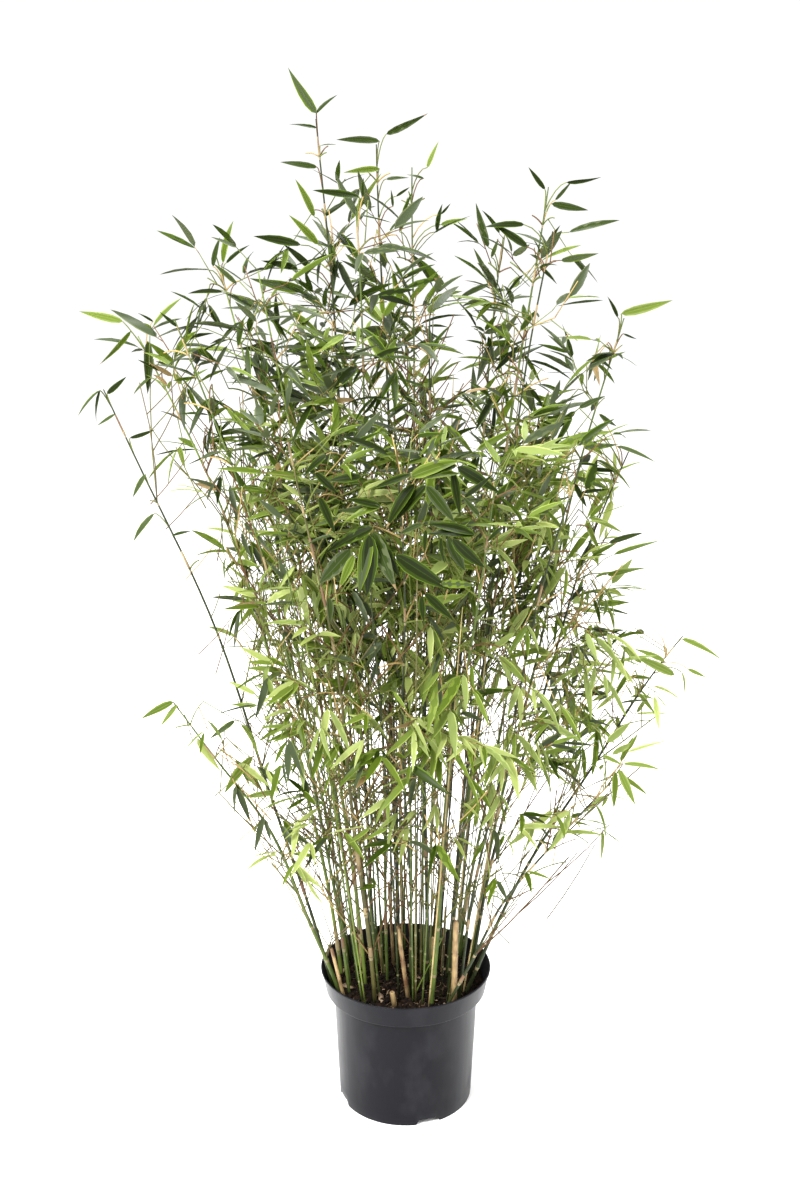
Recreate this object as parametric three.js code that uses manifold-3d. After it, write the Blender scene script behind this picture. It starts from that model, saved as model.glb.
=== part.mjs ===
// A clump of slender bamboo in a round plastic nursery pot, in millimetres, +Z up.
// The origin is the middle of the pot's underside, and the front of the plant faces -Y.
// Each cane is a tapering culm that leans out of the potting mix and ends where its foliage
// begins. There a stem carries on to the tip, with twigs and leaves fused to it as one solid.
import * as THREE from "three";
import { mergeVertices } from "three/addons/utils/BufferGeometryUtils.js";
import Module from "manifold-3d";

const wasm = await Module();
wasm.setup();

// Pot: a shell of one wall thickness with a wide rim band, a raised floor and a foot ring
const POT_HEIGHT = 234;
const RIM_RADIUS = 140;
const BAND_RADIUS = 132;
const BAND_HEIGHT = 38;
const SHOULDER_RADIUS = 119;
const FOOT_RADIUS = 110;
const WALL = 2.2;
const SHOULDER_DROP = 3;
const FLOOR_HEIGHT = 9.5;
const FOOT_WIDTH = 6;
const PAD_RADIUS = 36;
const PAD_DRAFT = 2;
const POT_SEGMENTS = 40;

// Drain notches in the foot ring
const NOTCH_COUNT = 4;
const NOTCH_FIRST_DEG = 19.6;
const NOTCH_WIDTH = 42;
const NOTCH_TOP_WIDTH = 30;
const NOTCH_HEIGHT = 8;
const NOTCH_DEPTH = 26;
const NOTCH_BELOW = 1;

// Potting mix, clear of the pot by the gap that parts keep
const GAP = 0.3;
const SOIL_CLEAR = 1.5 * GAP;
const SOIL_TOP = 208;

// Canes
const CANE_FOOT_RADIUS = 3.9;
const CANE_TIP_RADIUS = 2.1;
const CANE_SIDES = 5;
const CANE_STEPS = 4;
const BEND_RISE_SHARE = 0.125;
const STEM_SIDES = 3;
const STEM_STEPS = 6;
const PATH_STEPS = 28;

// Foliage, where a leaf is larger than life because there are fewer of them
const TWIG_SPACING = 90;
const TWIG_FIRST = 0.35;
const TWIG_SHORT = 40;
const TWIG_LONG = 150;
const TWIG_REACH = [0.7, 1.1];
const TWIG_RISE = [0.5, 1.3];
const TWIG_LIFT = [-0.1, 0.25];
const TWIG_RISING_SHARE = 0.55;
const TWIG_LEVEL_SHARE = 0.4;
const TWIG_RADIUS = 1.4;
const TWIG_TIP_RADIUS = 1.1;
const TWIG_BENDS = 70;
const TWIG_TRIES = 14;
const TWIG_TRY_SHRINK = 0.05;
const GOLDEN_DEG = 137.5;
const LEAF_LENGTH = 135;
const LEAF_LENGTHS = [0.8, 1.1];
const LEAF_PLACES = { long: [1, 0.82, 0.62, 0.4], short: [1, 0.75, 0.45] };
const LEAF_SPREAD = [0.6, 1];
const LEAF_SPREAD_AT_TIP = 0.15;
const LEAF_FALL = [-0.1, 0.6];
const LEAF_WIDTH_SHARE = 0.21;
const LEAF_WIDEST_AT = 0.36;
const LEAF_THICKEST_AT = 0.12;
const LEAF_THICKNESS = 1.7;
const LEAF_ABOVE_SHARE = 0.6;
const LEAF_DROOP = 0.08;
const LEAF_SINK = 0.3;
const LEAF_TRIES = 9;
const LEAF_TRY_SHRINK = 0.03;
const LEAF_SWAY = 0.55;
const LEAVES_LEAST = 2;
const TIP_LEAVES = 3;
const TIP_LEAF_LENGTH = 88;
const TIP_LEAF_STEP = 34;
const TIP_LEAF_LENGTHS = [0.85, 1.1];
const TIP_LEAF_LEAD = 1.4;
const TIP_LEAF_FOLLOW = 0.5;
const TIP_LEAF_FALL = 0.2;
const TIP_NUMBER = 901;

// Own space: how much nearer to its cane than to others a leaf stays, and how far from its stem
// it may stand outside the crown's outline. Then how many more faces a piece may bring than its
// own where it joins at its root alone, and the shortest edge kept.
const CELL_MARGIN = 1.5;
const NEAR_STEM = 70;
const JOIN_FACES = 14;
const SLIVER = 0.02;

// Outline of the crown: at each height, how far it reaches to the left and to the right
const CROWN = [
  { z: 250, left: 150, right: 140 },
  { z: 400, left: 200, right: 230 },
  { z: 490, left: 270, right: 365 },
  { z: 570, left: 320, right: 405 },
  { z: 650, left: 285, right: 385 },
  { z: 745, left: 285, right: 455 },
  { z: 800, left: 295, right: 425 },
  { z: 870, left: 290, right: 355 },
  { z: 960, left: 295, right: 325 },
  { z: 1030, left: 305, right: 320 },
  { z: 1100, left: 365, right: 340 },
  { z: 1180, left: 415, right: 310 },
  { z: 1250, left: 455, right: 325 },
  { z: 1300, left: 465, right: 340 },
  { z: 1340, left: 375, right: 290 },
  { z: 1400, left: 300, right: 285 },
  { z: 1440, left: 200, right: 280 },
  { z: 1510, left: 165, right: 265 },
  { z: 1645, left: 170, right: 60 },
];
const CROWN_DEPTH_SHARE = 0.92;

const GREEN = 0x56702f;
const CANE_GREEN = 0x5d6b3a;
const STRAW = 0xc2a063;
const POT_BLACK = 0x3a3a3f;
const SOIL_BROWN = 0x33241b;

// Each cane: where its foot stands on the potting mix, where its tip reaches, how far along it
// the leaves begin, and how much it arches outwards. Its foliage is as wide and as dense as
// wide and fill say, where 1 is usual.
const CANES = [
  { name: "lone", foot: [-121, -21], tip: [-440, -45, 1196], bare: 0.45, arch: 0.25, wide: 0.25, fill: 0.8 },
  { name: "left_outer", foot: [-107, 12], tip: [-400, 40, 1262], bare: 0.42, arch: 0.55, wide: 0.8 },
  { name: "left_front", foot: [-92, -50], tip: [-318, -150, 1310], bare: 0.36, arch: 0.5, wide: 0.95 },
  { name: "left_tall", foot: [-80, 40], tip: [-285, 90, 1375], bare: 0.4, arch: 0.45, wide: 0.85 },
  { name: "left_inner", foot: [-66, -24], tip: [-212, -35, 1365], bare: 0.34, arch: 0.35, wide: 0.9 },
  { name: "tallest", foot: [-54, 22], tip: [-131, 60, 1572], bare: 0.36, arch: 0.3, wide: 0.75 },
  { name: "centre_front", foot: [-30, -12], tip: [-70, -85, 1450], bare: 0.34, arch: 0.3, wide: 0.85 },
  { name: "centre_tall", foot: [-12, 62], tip: [-45, 150, 1535], bare: 0.38, arch: 0.3, wide: 0.75 },
  { name: "centre", foot: [8, 18], tip: [8, 40, 1505], bare: 0.4, arch: 0.2, wide: 0.65 },
  { name: "centre_right", foot: [34, -20], tip: [32, -120, 1310], bare: 0.34, arch: 0.3, wide: 0.8 },
  { name: "right_back", foot: [56, 66], tip: [148, 135, 1400], bare: 0.4, arch: 0.35, wide: 0.75 },
  { name: "right_tall", foot: [72, 12], tip: [205, 25, 1478], bare: 0.38, arch: 0.25, wide: 0.75 },
  { name: "right_front", foot: [70, -34], tip: [200, -112, 1425], bare: 0.36, arch: 0.4, wide: 0.8 },
  { name: "right_outer", foot: [110, 47], tip: [330, 85, 1283], bare: 0.36, arch: 0.25, wide: 0.75 },
  { name: "right_side", foot: [108, 8], tip: [322, -75, 1110], bare: 0.36, arch: 0.35, wide: 0.95 },
  { name: "right_low", foot: [100, -42], tip: [432, 15, 800], bare: 0.42, arch: 0.25, wide: 0.9, fill: 1.3 },
  { name: "right_near", foot: [86, -66], tip: [240, -215, 1130], bare: 0.3, arch: 0.35, wide: 0.95 },
  { name: "front", foot: [8, -56], tip: [-12, -318, 1140], bare: 0.3, arch: 0.45, fill: 1.15 },
  { name: "front_left", foot: [-50, -72], tip: [-158, -285, 1175], bare: 0.29, arch: 0.4, fill: 1.1 },
  { name: "front_right", foot: [42, -78], tip: [122, -275, 1130], bare: 0.29, arch: 0.4, fill: 1.1 },
  { name: "back_left", foot: [-58, 84], tip: [-200, 262, 1230], bare: 0.36, arch: 0.4 },
  { name: "back", foot: [-4, 112], tip: [-20, 305, 1300], bare: 0.36, arch: 0.4 },
  { name: "back_right", foot: [46, 96], tip: [175, 268, 1215], bare: 0.38, arch: 0.4 },
  { name: "back_far_left", foot: [-98, 60], tip: [-270, 200, 1080], bare: 0.36, arch: 0.35 },
  { name: "back_far_right", foot: [92, 80], tip: [275, 215, 1080], bare: 0.36, arch: 0.35 },
  { name: "left_low", foot: [-108, -48], tip: [-345, -130, 742], bare: 0.42, arch: 0.35, wide: 0.85, fill: 1.2 },
  { name: "right_short", foot: [64, -96], tip: [300, -190, 640], bare: 0.42, arch: 0.3, wide: 0.8, fill: 1.5 },
];

// A dead cane that was cut off just above the potting mix
const CUT_CANE = { foot: [-17, -84], lean: [-5, -1], height: 24, radius: 4.2, sides: 8 };

// A closed three.js geometry as a solid that can be joined or cut.
function solidOf(geometry) {
  const bare = geometry.index ? geometry.toNonIndexed() : geometry.clone();
  for (const key of Object.keys(bare.attributes)) if (key !== "position") bare.deleteAttribute(key);
  const merged = mergeVertices(bare, 1e-3);
  return new wasm.Manifold(
    new wasm.Mesh({
      numProp: 3,
      vertProperties: merged.attributes.position.array,
      triVerts: new Uint32Array(merged.index.array),
    }),
  );
}

// A solid as a three.js geometry, in flat facets.
function geometryOf(solid) {
  const mesh = solid.getMesh();
  const points = new Float32Array(mesh.numVert * 3);
  for (let i = 0; i < mesh.numVert; i++)
    points.set(mesh.vertProperties.subarray(i * mesh.numProp, i * mesh.numProp + 3), i * 3);
  return new THREE.BufferGeometry()
    .setAttribute("position", new THREE.BufferAttribute(points, 3))
    .setIndex(new THREE.BufferAttribute(mesh.triVerts, 1))
    .toNonIndexed();
}

// The largest closed body of a solid, without loose scraps or sealed hollows.
const mainBody = (solid) => solid.decompose().reduce((a, b) => (a.volume() > b.volume() ? a : b));

// Whether a solid still stands as one closed body once its vertices are rounded and merged.
function isSound(solid) {
  try {
    const again = solidOf(geometryOf(solid));
    return again.decompose().length === 1 && again.volume() > 0;
  } catch {
    return false;
  }
}

const vec = (x, y, z) => new THREE.Vector3(x, y, z);
const UP = vec(0, 0, 1);
const RING_START = vec(0.31, 0.95, 0);

// A repeatable value from 0 to 1 for one use of one twig of one cane.
function pick(cane, twig, use) {
  const n = Math.sin(cane * 12.9898 + twig * 78.233 + use * 37.719) * 43758.5453;
  return n - Math.floor(n);
}

const mix = (a, b, share) => a + (b - a) * share;

// Rings of points round a curve from one share of it to another, tapering, closed at both
// ends. A flat foot slides the first ring along the curve until it lies level.
function taperedTube(curve, from, to, radiusAt, sides, steps, flatFoot = false) {
  const positions = [];
  const index = [];
  const side = vec(0, 0, 0).crossVectors(curve.getTangent(from), RING_START).normalize();
  for (let i = 0; i <= steps; i++) {
    const at = mix(from, to, i / steps);
    const centre = curve.getPoint(at);
    const along = curve.getTangent(at);
    const across = vec(0, 0, 0).crossVectors(along, side).normalize();
    side.crossVectors(across, along).normalize();
    for (let k = 0; k < sides; k++) {
      const turn = (k / sides) * 2 * Math.PI;
      const p = centre
        .clone()
        .addScaledVector(side, radiusAt(at) * Math.cos(turn))
        .addScaledVector(across, radiusAt(at) * Math.sin(turn));
      if (flatFoot && i === 0) p.addScaledVector(along, (centre.z - p.z) / along.z);
      positions.push(p.x, p.y, p.z);
    }
  }
  for (let i = 0; i < steps; i++)
    for (let k = 0; k < sides; k++) {
      const a = i * sides + k;
      const b = i * sides + ((k + 1) % sides);
      index.push(a, b, b + sides, a, b + sides, a + sides);
    }
  const last = steps * sides;
  for (let k = 1; k < sides - 1; k++) {
    index.push(0, k + 1, k);
    index.push(last, last + k, last + k + 1);
  }
  return new THREE.BufferGeometry()
    .setAttribute("position", new THREE.Float32BufferAttribute(positions, 3))
    .setIndex(index);
}

// A point on the straight steps that a tube follows from one share of its curve to the end.
function pointOnTube(curve, from, steps, at) {
  const step = (1 - from) / steps;
  const start = from + step * Math.min(Math.floor((at - from) / step), steps - 1);
  return curve.getPoint(start).lerp(curve.getPoint(start + step), (at - start) / step);
}

// Inner radius of the pot's wall at a height.
function innerRadius(z) {
  const bandFoot = POT_HEIGHT - BAND_HEIGHT + SHOULDER_DROP;
  if (z >= bandFoot)
    return mix(BAND_RADIUS, RIM_RADIUS, (z - bandFoot) / (POT_HEIGHT - bandFoot)) - WALL;
  return mix(FOOT_RADIUS, SHOULDER_RADIUS, z / bandFoot) - WALL;
}

// The pot: a turned shell with notches cut through its foot ring.
function potGeometry() {
  const bandFoot = POT_HEIGHT - BAND_HEIGHT;
  const profile = [
    [0, 0],
    [PAD_RADIUS, 0],
    [PAD_RADIUS + PAD_DRAFT, FLOOR_HEIGHT],
    [FOOT_RADIUS - FOOT_WIDTH, FLOOR_HEIGHT],
    [FOOT_RADIUS - FOOT_WIDTH, 0],
    [FOOT_RADIUS, 0],
    [SHOULDER_RADIUS, bandFoot - SHOULDER_DROP],
    [BAND_RADIUS, bandFoot],
    [RIM_RADIUS, POT_HEIGHT],
    [RIM_RADIUS - WALL, POT_HEIGHT],
    [BAND_RADIUS - WALL, bandFoot + SHOULDER_DROP],
    [SHOULDER_RADIUS - WALL, bandFoot],
    [innerRadius(FLOOR_HEIGHT + WALL), FLOOR_HEIGHT + WALL],
    [0, FLOOR_HEIGHT + WALL],
  ];
  const shell = new THREE.LatheGeometry(profile.map(([r, z]) => new THREE.Vector2(r, z)), POT_SEGMENTS);
  shell.rotateX(Math.PI / 2);
  const outline = new THREE.Shape([
    new THREE.Vector2(-NOTCH_WIDTH / 2, -NOTCH_BELOW),
    new THREE.Vector2(NOTCH_WIDTH / 2, -NOTCH_BELOW),
    new THREE.Vector2(NOTCH_TOP_WIDTH / 2, NOTCH_HEIGHT),
    new THREE.Vector2(-NOTCH_TOP_WIDTH / 2, NOTCH_HEIGHT),
  ]);
  let pot = solidOf(shell);
  for (let i = 0; i < NOTCH_COUNT; i++) {
    const notch = new THREE.ExtrudeGeometry(outline, { depth: NOTCH_DEPTH, bevelEnabled: false });
    notch.rotateX(Math.PI / 2);
    notch.translate(0, -FOOT_RADIUS + NOTCH_DEPTH / 2 + FOOT_WIDTH / 2, 0);
    notch.rotateZ(THREE.MathUtils.degToRad(NOTCH_FIRST_DEG + (i * 360) / NOTCH_COUNT));
    pot = pot.subtract(solidOf(notch));
  }
  return geometryOf(mainBody(pot));
}

// The potting mix: it fills the pot's inside up to its top, a little clear of the wall.
function soilGeometry() {
  const bandFoot = POT_HEIGHT - BAND_HEIGHT;
  const floor = FLOOR_HEIGHT + WALL + GAP;
  const profile = [
    [0, floor],
    [innerRadius(floor) - SOIL_CLEAR, floor],
    [SHOULDER_RADIUS - WALL - SOIL_CLEAR, bandFoot + SOIL_CLEAR],
    [BAND_RADIUS - WALL - 2 * SOIL_CLEAR, bandFoot + SHOULDER_DROP + SOIL_CLEAR],
    [innerRadius(SOIL_TOP) - 2 * SOIL_CLEAR, SOIL_TOP],
    [0, SOIL_TOP],
  ];
  const mixture = new THREE.LatheGeometry(profile.map(([r, z]) => new THREE.Vector2(r, z)), POT_SEGMENTS);
  return mixture.rotateX(Math.PI / 2);
}

// A cane's centreline: a quadratic curve that starts steeper and arches outwards.
function caneCurve(cane) {
  const foot = vec(cane.foot[0], cane.foot[1], SOIL_TOP + GAP);
  const tip = vec(...cane.tip);
  const bend = vec(
    mix(foot.x, tip.x, 0.5 - cane.arch / 2),
    mix(foot.y, tip.y, 0.5 - cane.arch / 2),
    mix(foot.z, tip.z, 0.5 + cane.arch * BEND_RISE_SHARE),
  );
  return new THREE.QuadraticBezierCurve3(foot, bend, tip);
}

// Half thickness of a cane at a share of its length.
const caneRadius = (share) => mix(CANE_FOOT_RADIUS, CANE_TIP_RADIUS, share);

const curves = CANES.map(caneCurve);

// Where a cane's foliage begins, a gap beyond the end of the bare cane.
const stemStart = (cane) => CANES[cane].bare + GAP / curves[cane].getLength();

const paths = curves.map((curve) => curve.getPoints(PATH_STEPS));

// Distance from a point to a cane's centreline.
function distanceTo(path, point) {
  const line = new THREE.Line3();
  const near = vec(0, 0, 0);
  let best = Infinity;
  for (let i = 1; i < path.length; i++) {
    line.set(path[i - 1], path[i]).closestPointToPoint(point, true, near);
    best = Math.min(best, near.distanceToSquared(point));
  }
  return Math.sqrt(best);
}

// Whether a point lies inside the outline of the crown.
function inCrown({ x, y, z }) {
  const above = CROWN.findIndex((row) => row.z > z);
  if (above < 1) return false;
  const [low, high] = [CROWN[above - 1], CROWN[above]];
  const share = (z - low.z) / (high.z - low.z);
  const left = mix(low.left, high.left, share);
  const right = mix(low.right, high.right, share);
  const deep = (CROWN_DEPTH_SHARE * (left + right)) / 2;
  return Math.hypot(x / (x < 0 ? left : right), y / deep) < 1;
}

// Whether points are nearer to a cane than to any other, which is that cane's own space.
function inOwnSpace(cane, points) {
  return points.every((point) => {
    const own = distanceTo(paths[cane], point) + CELL_MARGIN;
    return paths.every((path, other) => other === cane || distanceTo(path, point) > own);
  });
}

// Whether a point lies in the crown, or close to a cane that stands out of it.
const nearCrown = (cane, point) => inCrown(point) || distanceTo(paths[cane], point) < NEAR_STEM;

// Whether points may hold a cane's foliage.
const fits = (cane, points) =>
  points.every((point) => nearCrown(cane, point)) && inOwnSpace(cane, points);

// The points of a leaf: its root, both edges, its tip, and its upper and lower face.
function leafPoints(root, along, length) {
  const aside = vec(0, 0, 0).crossVectors(along, UP).normalize();
  const face = vec(0, 0, 0).crossVectors(aside, along).normalize();
  const half = (length * LEAF_WIDTH_SHARE) / 2;
  const widest = root.clone().addScaledVector(along, length * LEAF_WIDEST_AT);
  const thickest = root.clone().addScaledVector(along, length * LEAF_THICKEST_AT);
  return {
    start: root.clone().addScaledVector(along, -LEAF_SINK),
    left: widest.clone().addScaledVector(aside, half),
    right: widest.clone().addScaledVector(aside, -half),
    tip: root.clone().addScaledVector(along, length).addScaledVector(UP, -length * LEAF_DROOP),
    top: thickest.clone().addScaledVector(face, LEAF_THICKNESS * LEAF_ABOVE_SHARE),
    under: thickest.clone().addScaledVector(face, LEAF_THICKNESS * (LEAF_ABOVE_SHARE - 1)),
  };
}

// A leaf as a closed solid of 8 faces.
function leafSolid({ start, left, right, tip, top, under }) {
  const corners = [start, left, right, tip, top, under];
  const faces = [1, 4, 0, 3, 4, 1, 2, 4, 3, 0, 4, 2, 5, 1, 0, 5, 3, 1, 5, 2, 3, 5, 0, 2];
  const geometry = new THREE.BufferGeometry()
    .setAttribute("position", new THREE.Float32BufferAttribute(corners.flatMap((p) => p.toArray()), 3))
    .setIndex(faces);
  return solidOf(geometry);
}

// Points round a leaf's edge that are tested against the space it may fill.
function leafEdge({ start, left, right, tip }) {
  const between = [
    [start, left],
    [left, tip],
    [start, right],
    [right, tip],
  ].map(([a, b]) => a.clone().lerp(b, 0.5));
  return [left, right, tip, ...between];
}

// One way for a twig to grow: it leaves the stem at an angle and levels out towards its end.
function twigCurve(cane, number, attempt, at) {
  const { bare, wide = 1 } = CANES[cane];
  const root = pointOnTube(curves[cane], stemStart(cane), STEM_STEPS, at);
  const stem = curves[cane].getTangent(at);
  const turn = THREE.MathUtils.degToRad(GOLDEN_DEG * (number + 3 * attempt) + 360 * pick(cane, 0, 7));
  const outward = vec(Math.cos(turn), Math.sin(turn), 0);
  outward.addScaledVector(stem, -outward.dot(stem)).normalize();
  const height = (at - bare) / (1 - bare);
  const reach = mix(TWIG_LONG, TWIG_SHORT, height) * wide * mix(...TWIG_REACH, pick(cane, number, 2));
  const length = reach * (1 - TWIG_TRY_SHRINK * attempt);
  const rise = mix(...TWIG_RISE, pick(cane, number, 1));
  const start = outward.clone().addScaledVector(stem, rise).normalize();
  const bend = root.clone().addScaledVector(start, length * TWIG_RISING_SHARE);
  const end = bend.clone().addScaledVector(outward, length * TWIG_LEVEL_SHARE);
  end.addScaledVector(UP, length * mix(...TWIG_LIFT, pick(cane, number, 3)));
  return new THREE.QuadraticBezierCurve3(root, bend, end);
}

// One way for a leaf to hang from a twig: alternate leaves spread to both sides, and the last
// one carries on the twig's line. Later attempts rise or hang steeper.
function leafOn(cane, number, twig, place, attempt) {
  const { at, side } = place;
  const along = twig.getTangent(at);
  const aside = vec(0, 0, 0).crossVectors(along, UP).normalize();
  const use = 10 + 3 * place.index;
  const spread = at === 1 ? LEAF_SPREAD_AT_TIP : mix(...LEAF_SPREAD, pick(cane, number, use));
  const sway = LEAF_SWAY * Math.ceil(attempt / 2) * (attempt % 2 ? -1 : 1);
  const fall = mix(...LEAF_FALL, pick(cane, number, use + 1)) + sway;
  along.addScaledVector(aside, side * spread).addScaledVector(UP, -fall).normalize();
  const length = LEAF_LENGTH * mix(...LEAF_LENGTHS, pick(cane, number, use + 2));
  const shrink = 1 - LEAF_TRY_SHRINK * attempt;
  return leafPoints(pointOnTube(twig, 0, twigSteps(twig), at), along, length * shrink);
}

// Straight steps in a twig: a long one bends, a short one is straight.
const twigSteps = (twig) => (twig.getLength() > TWIG_BENDS ? 2 : 1);

// Where the leaves of a twig stand, counted from its tip.
function leafPlaces(twig) {
  const places = twigSteps(twig) > 1 ? LEAF_PLACES.long : LEAF_PLACES.short;
  return places.map((at, index) => ({ at, index, side: index % 2 ? 1 : -1 }));
}

// Leaves that stand on the tip of a cane's own stem: one leads outwards, the others alternate.
function tipLeaves(cane) {
  const curve = curves[cane];
  const tall = curve.getLength();
  const [x, y] = CANES[cane].tip;
  return Array.from({ length: TIP_LEAVES }, (_, i) => {
    const at = 1 - (i * TIP_LEAF_STEP) / tall;
    const turn = Math.atan2(y, x) + i * THREE.MathUtils.degToRad(GOLDEN_DEG);
    const along = curve.getTangent(at).multiplyScalar(i === 0 ? TIP_LEAF_LEAD : TIP_LEAF_FOLLOW);
    along.add(vec(Math.cos(turn), Math.sin(turn), -TIP_LEAF_FALL * i)).normalize();
    const root = pointOnTube(curve, stemStart(cane), STEM_STEPS, at);
    const length = TIP_LEAF_LENGTH * mix(...TIP_LEAF_LENGTHS, pick(cane, TIP_NUMBER, i));
    return leafPoints(root, along, length);
  });
}

// A mass of foliage: the stem from where the cane ends to the tip, its twigs and their leaves.
function foliageGeometry(cane) {
  const { bare, fill = 1 } = CANES[cane];
  const curve = curves[cane];
  const tall = curve.getLength();
  let mass = solidOf(taperedTube(curve, stemStart(cane), 1, caneRadius, STEM_SIDES, STEM_STEPS));

  // Joins a piece that meets the mass at its root only, and says whether it did.
  const grow = (piece) => {
    const joined = mass.add(piece).simplify(SLIVER);
    const faces = joined.numTri() - mass.numTri();
    if (faces > piece.numTri() + JOIN_FACES || joined.decompose().length !== 1) return false;
    if (!isSound(joined)) return false;
    mass = joined;
    return true;
  };

  // Tries ways to place a leaf until one fits the cane's own space.
  const growLeaf = (number, twig, place) => {
    for (let attempt = 0; attempt < LEAF_TRIES; attempt++) {
      const leaf = leafOn(cane, number, twig, place, attempt);
      if (fits(cane, leafEdge(leaf)) && grow(leafSolid(leaf))) return true;
    }
    return false;
  };

  const twigs = Math.round((tall * (1 - bare) * fill) / TWIG_SPACING);
  const thickness = (share) => mix(TWIG_RADIUS, TWIG_TIP_RADIUS, share);
  for (let number = 0; number < twigs; number++) {
    const at = mix(bare, 1, (number + TWIG_FIRST) / twigs);
    for (let attempt = 0; attempt < TWIG_TRIES; attempt++) {
      const twig = twigCurve(cane, number, attempt, at);
      if (!fits(cane, twig.getPoints(4).slice(1))) continue;
      const places = leafPlaces(twig);
      const first = leafOn(cane, number, twig, places[0], 0);
      if (!fits(cane, leafEdge(first)) && attempt < TWIG_TRIES / 2) continue;
      const before = mass;
      if (!grow(solidOf(taperedTube(twig, 0, 1, thickness, STEM_SIDES, twigSteps(twig))))) continue;
      const grown = places.filter((place) => growLeaf(number, twig, place)).length;
      if (grown >= Math.min(LEAVES_LEAST, places.length)) break;
      mass = before;
    }
  }
  for (const leaf of tipLeaves(cane)) if (inOwnSpace(cane, leafEdge(leaf))) grow(leafSolid(leaf));
  return geometryOf(mass);
}

// The cut cane: a short straight stub with a flat foot.
function cutCaneGeometry() {
  const foot = vec(...CUT_CANE.foot, SOIL_TOP + GAP);
  const top = foot.clone().add(vec(...CUT_CANE.lean, CUT_CANE.height));
  const line = new THREE.LineCurve3(foot, top);
  return taperedTube(line, 0, 1, () => CUT_CANE.radius, CUT_CANE.sides, 1, true);
}

const plant = new THREE.Group();

// Adds a named piece with its colour to the plant.
function addPiece(name, geometry, color, roughness) {
  const piece = new THREE.Mesh(geometry, new THREE.MeshStandardMaterial({ color, roughness, metalness: 0 }));
  piece.name = name;
  plant.add(piece);
}

addPiece("pot", potGeometry(), POT_BLACK, 0.45);
addPiece("potting_mix", soilGeometry(), SOIL_BROWN, 0.95);
addPiece("cut_cane", cutCaneGeometry(), STRAW, 0.7);
CANES.forEach((cane, i) => {
  const trunk = taperedTube(curves[i], 0, cane.bare, caneRadius, CANE_SIDES, CANE_STEPS, true);
  addPiece("cane_" + cane.name, trunk, CANE_GREEN, 0.5);
});
CANES.forEach((cane, i) => {
  addPiece("foliage_" + cane.name, foliageGeometry(i), GREEN, 0.55);
});

export default plant;
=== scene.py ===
# A clump of slender bamboo in a round plastic nursery pot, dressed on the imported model.
import math

import bpy
import numpy as np
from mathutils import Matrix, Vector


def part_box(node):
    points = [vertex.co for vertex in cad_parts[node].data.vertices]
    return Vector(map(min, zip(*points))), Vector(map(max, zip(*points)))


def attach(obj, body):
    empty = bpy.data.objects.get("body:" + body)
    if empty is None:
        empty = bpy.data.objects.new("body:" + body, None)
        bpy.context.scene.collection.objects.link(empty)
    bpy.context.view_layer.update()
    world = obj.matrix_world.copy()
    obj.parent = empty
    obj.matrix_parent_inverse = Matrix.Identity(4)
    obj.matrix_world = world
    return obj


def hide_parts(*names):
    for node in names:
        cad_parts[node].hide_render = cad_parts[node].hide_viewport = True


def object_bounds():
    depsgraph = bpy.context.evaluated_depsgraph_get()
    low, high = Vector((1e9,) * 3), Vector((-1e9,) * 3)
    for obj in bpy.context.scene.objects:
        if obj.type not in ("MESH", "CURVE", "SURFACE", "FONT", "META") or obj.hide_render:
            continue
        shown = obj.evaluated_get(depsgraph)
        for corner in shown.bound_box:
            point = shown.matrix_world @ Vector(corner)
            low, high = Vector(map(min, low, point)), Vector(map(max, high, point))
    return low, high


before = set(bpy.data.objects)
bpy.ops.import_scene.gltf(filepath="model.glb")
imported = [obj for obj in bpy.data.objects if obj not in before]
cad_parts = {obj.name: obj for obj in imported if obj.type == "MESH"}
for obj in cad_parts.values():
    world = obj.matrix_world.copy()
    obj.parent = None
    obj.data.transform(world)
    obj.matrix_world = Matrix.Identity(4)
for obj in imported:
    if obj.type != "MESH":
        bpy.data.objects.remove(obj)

cad_box = [list(corner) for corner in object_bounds()]


# Floor, lamps and camera
# The plant stands on a seamless white studio floor, under large soft lamps and a white
# surround that fills the shade. The camera stands in front and looks a little down at it.
FLOOR_REACH = 16.0
FLOOR_WHITES = (0.95, 0.96)
SURROUND = 1.06
CAMERA_PLACE = (-0.0093, -2.3578, 1.5787)
CAMERA_PITCH_DEG = 16.87
CAMERA_LENS_MM = 48.04
CAMERA_SENSOR_MM = 36
LAMPS = [
    {"name": "key_lamp", "place": (-1.9, -2.6, 3.4), "size": 1.5, "watts": 400},
    {"name": "fill_lamp", "place": (2.4, -2.0, 2.4), "size": 1.8, "watts": 70},
    {"name": "top_lamp", "place": (0.2, 0.9, 3.9), "size": 1.8, "watts": 200},
]
LAMP_TARGET = np.array([0.0, 0.0, 0.85])
SHORTEST = 1e-12


def unit(vectors):
    """Vectors scaled to length one: each is divided by the root of its summed squares."""
    return vectors / np.maximum(np.linalg.norm(vectors, axis=-1, keepdims=True), SHORTEST)


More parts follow.
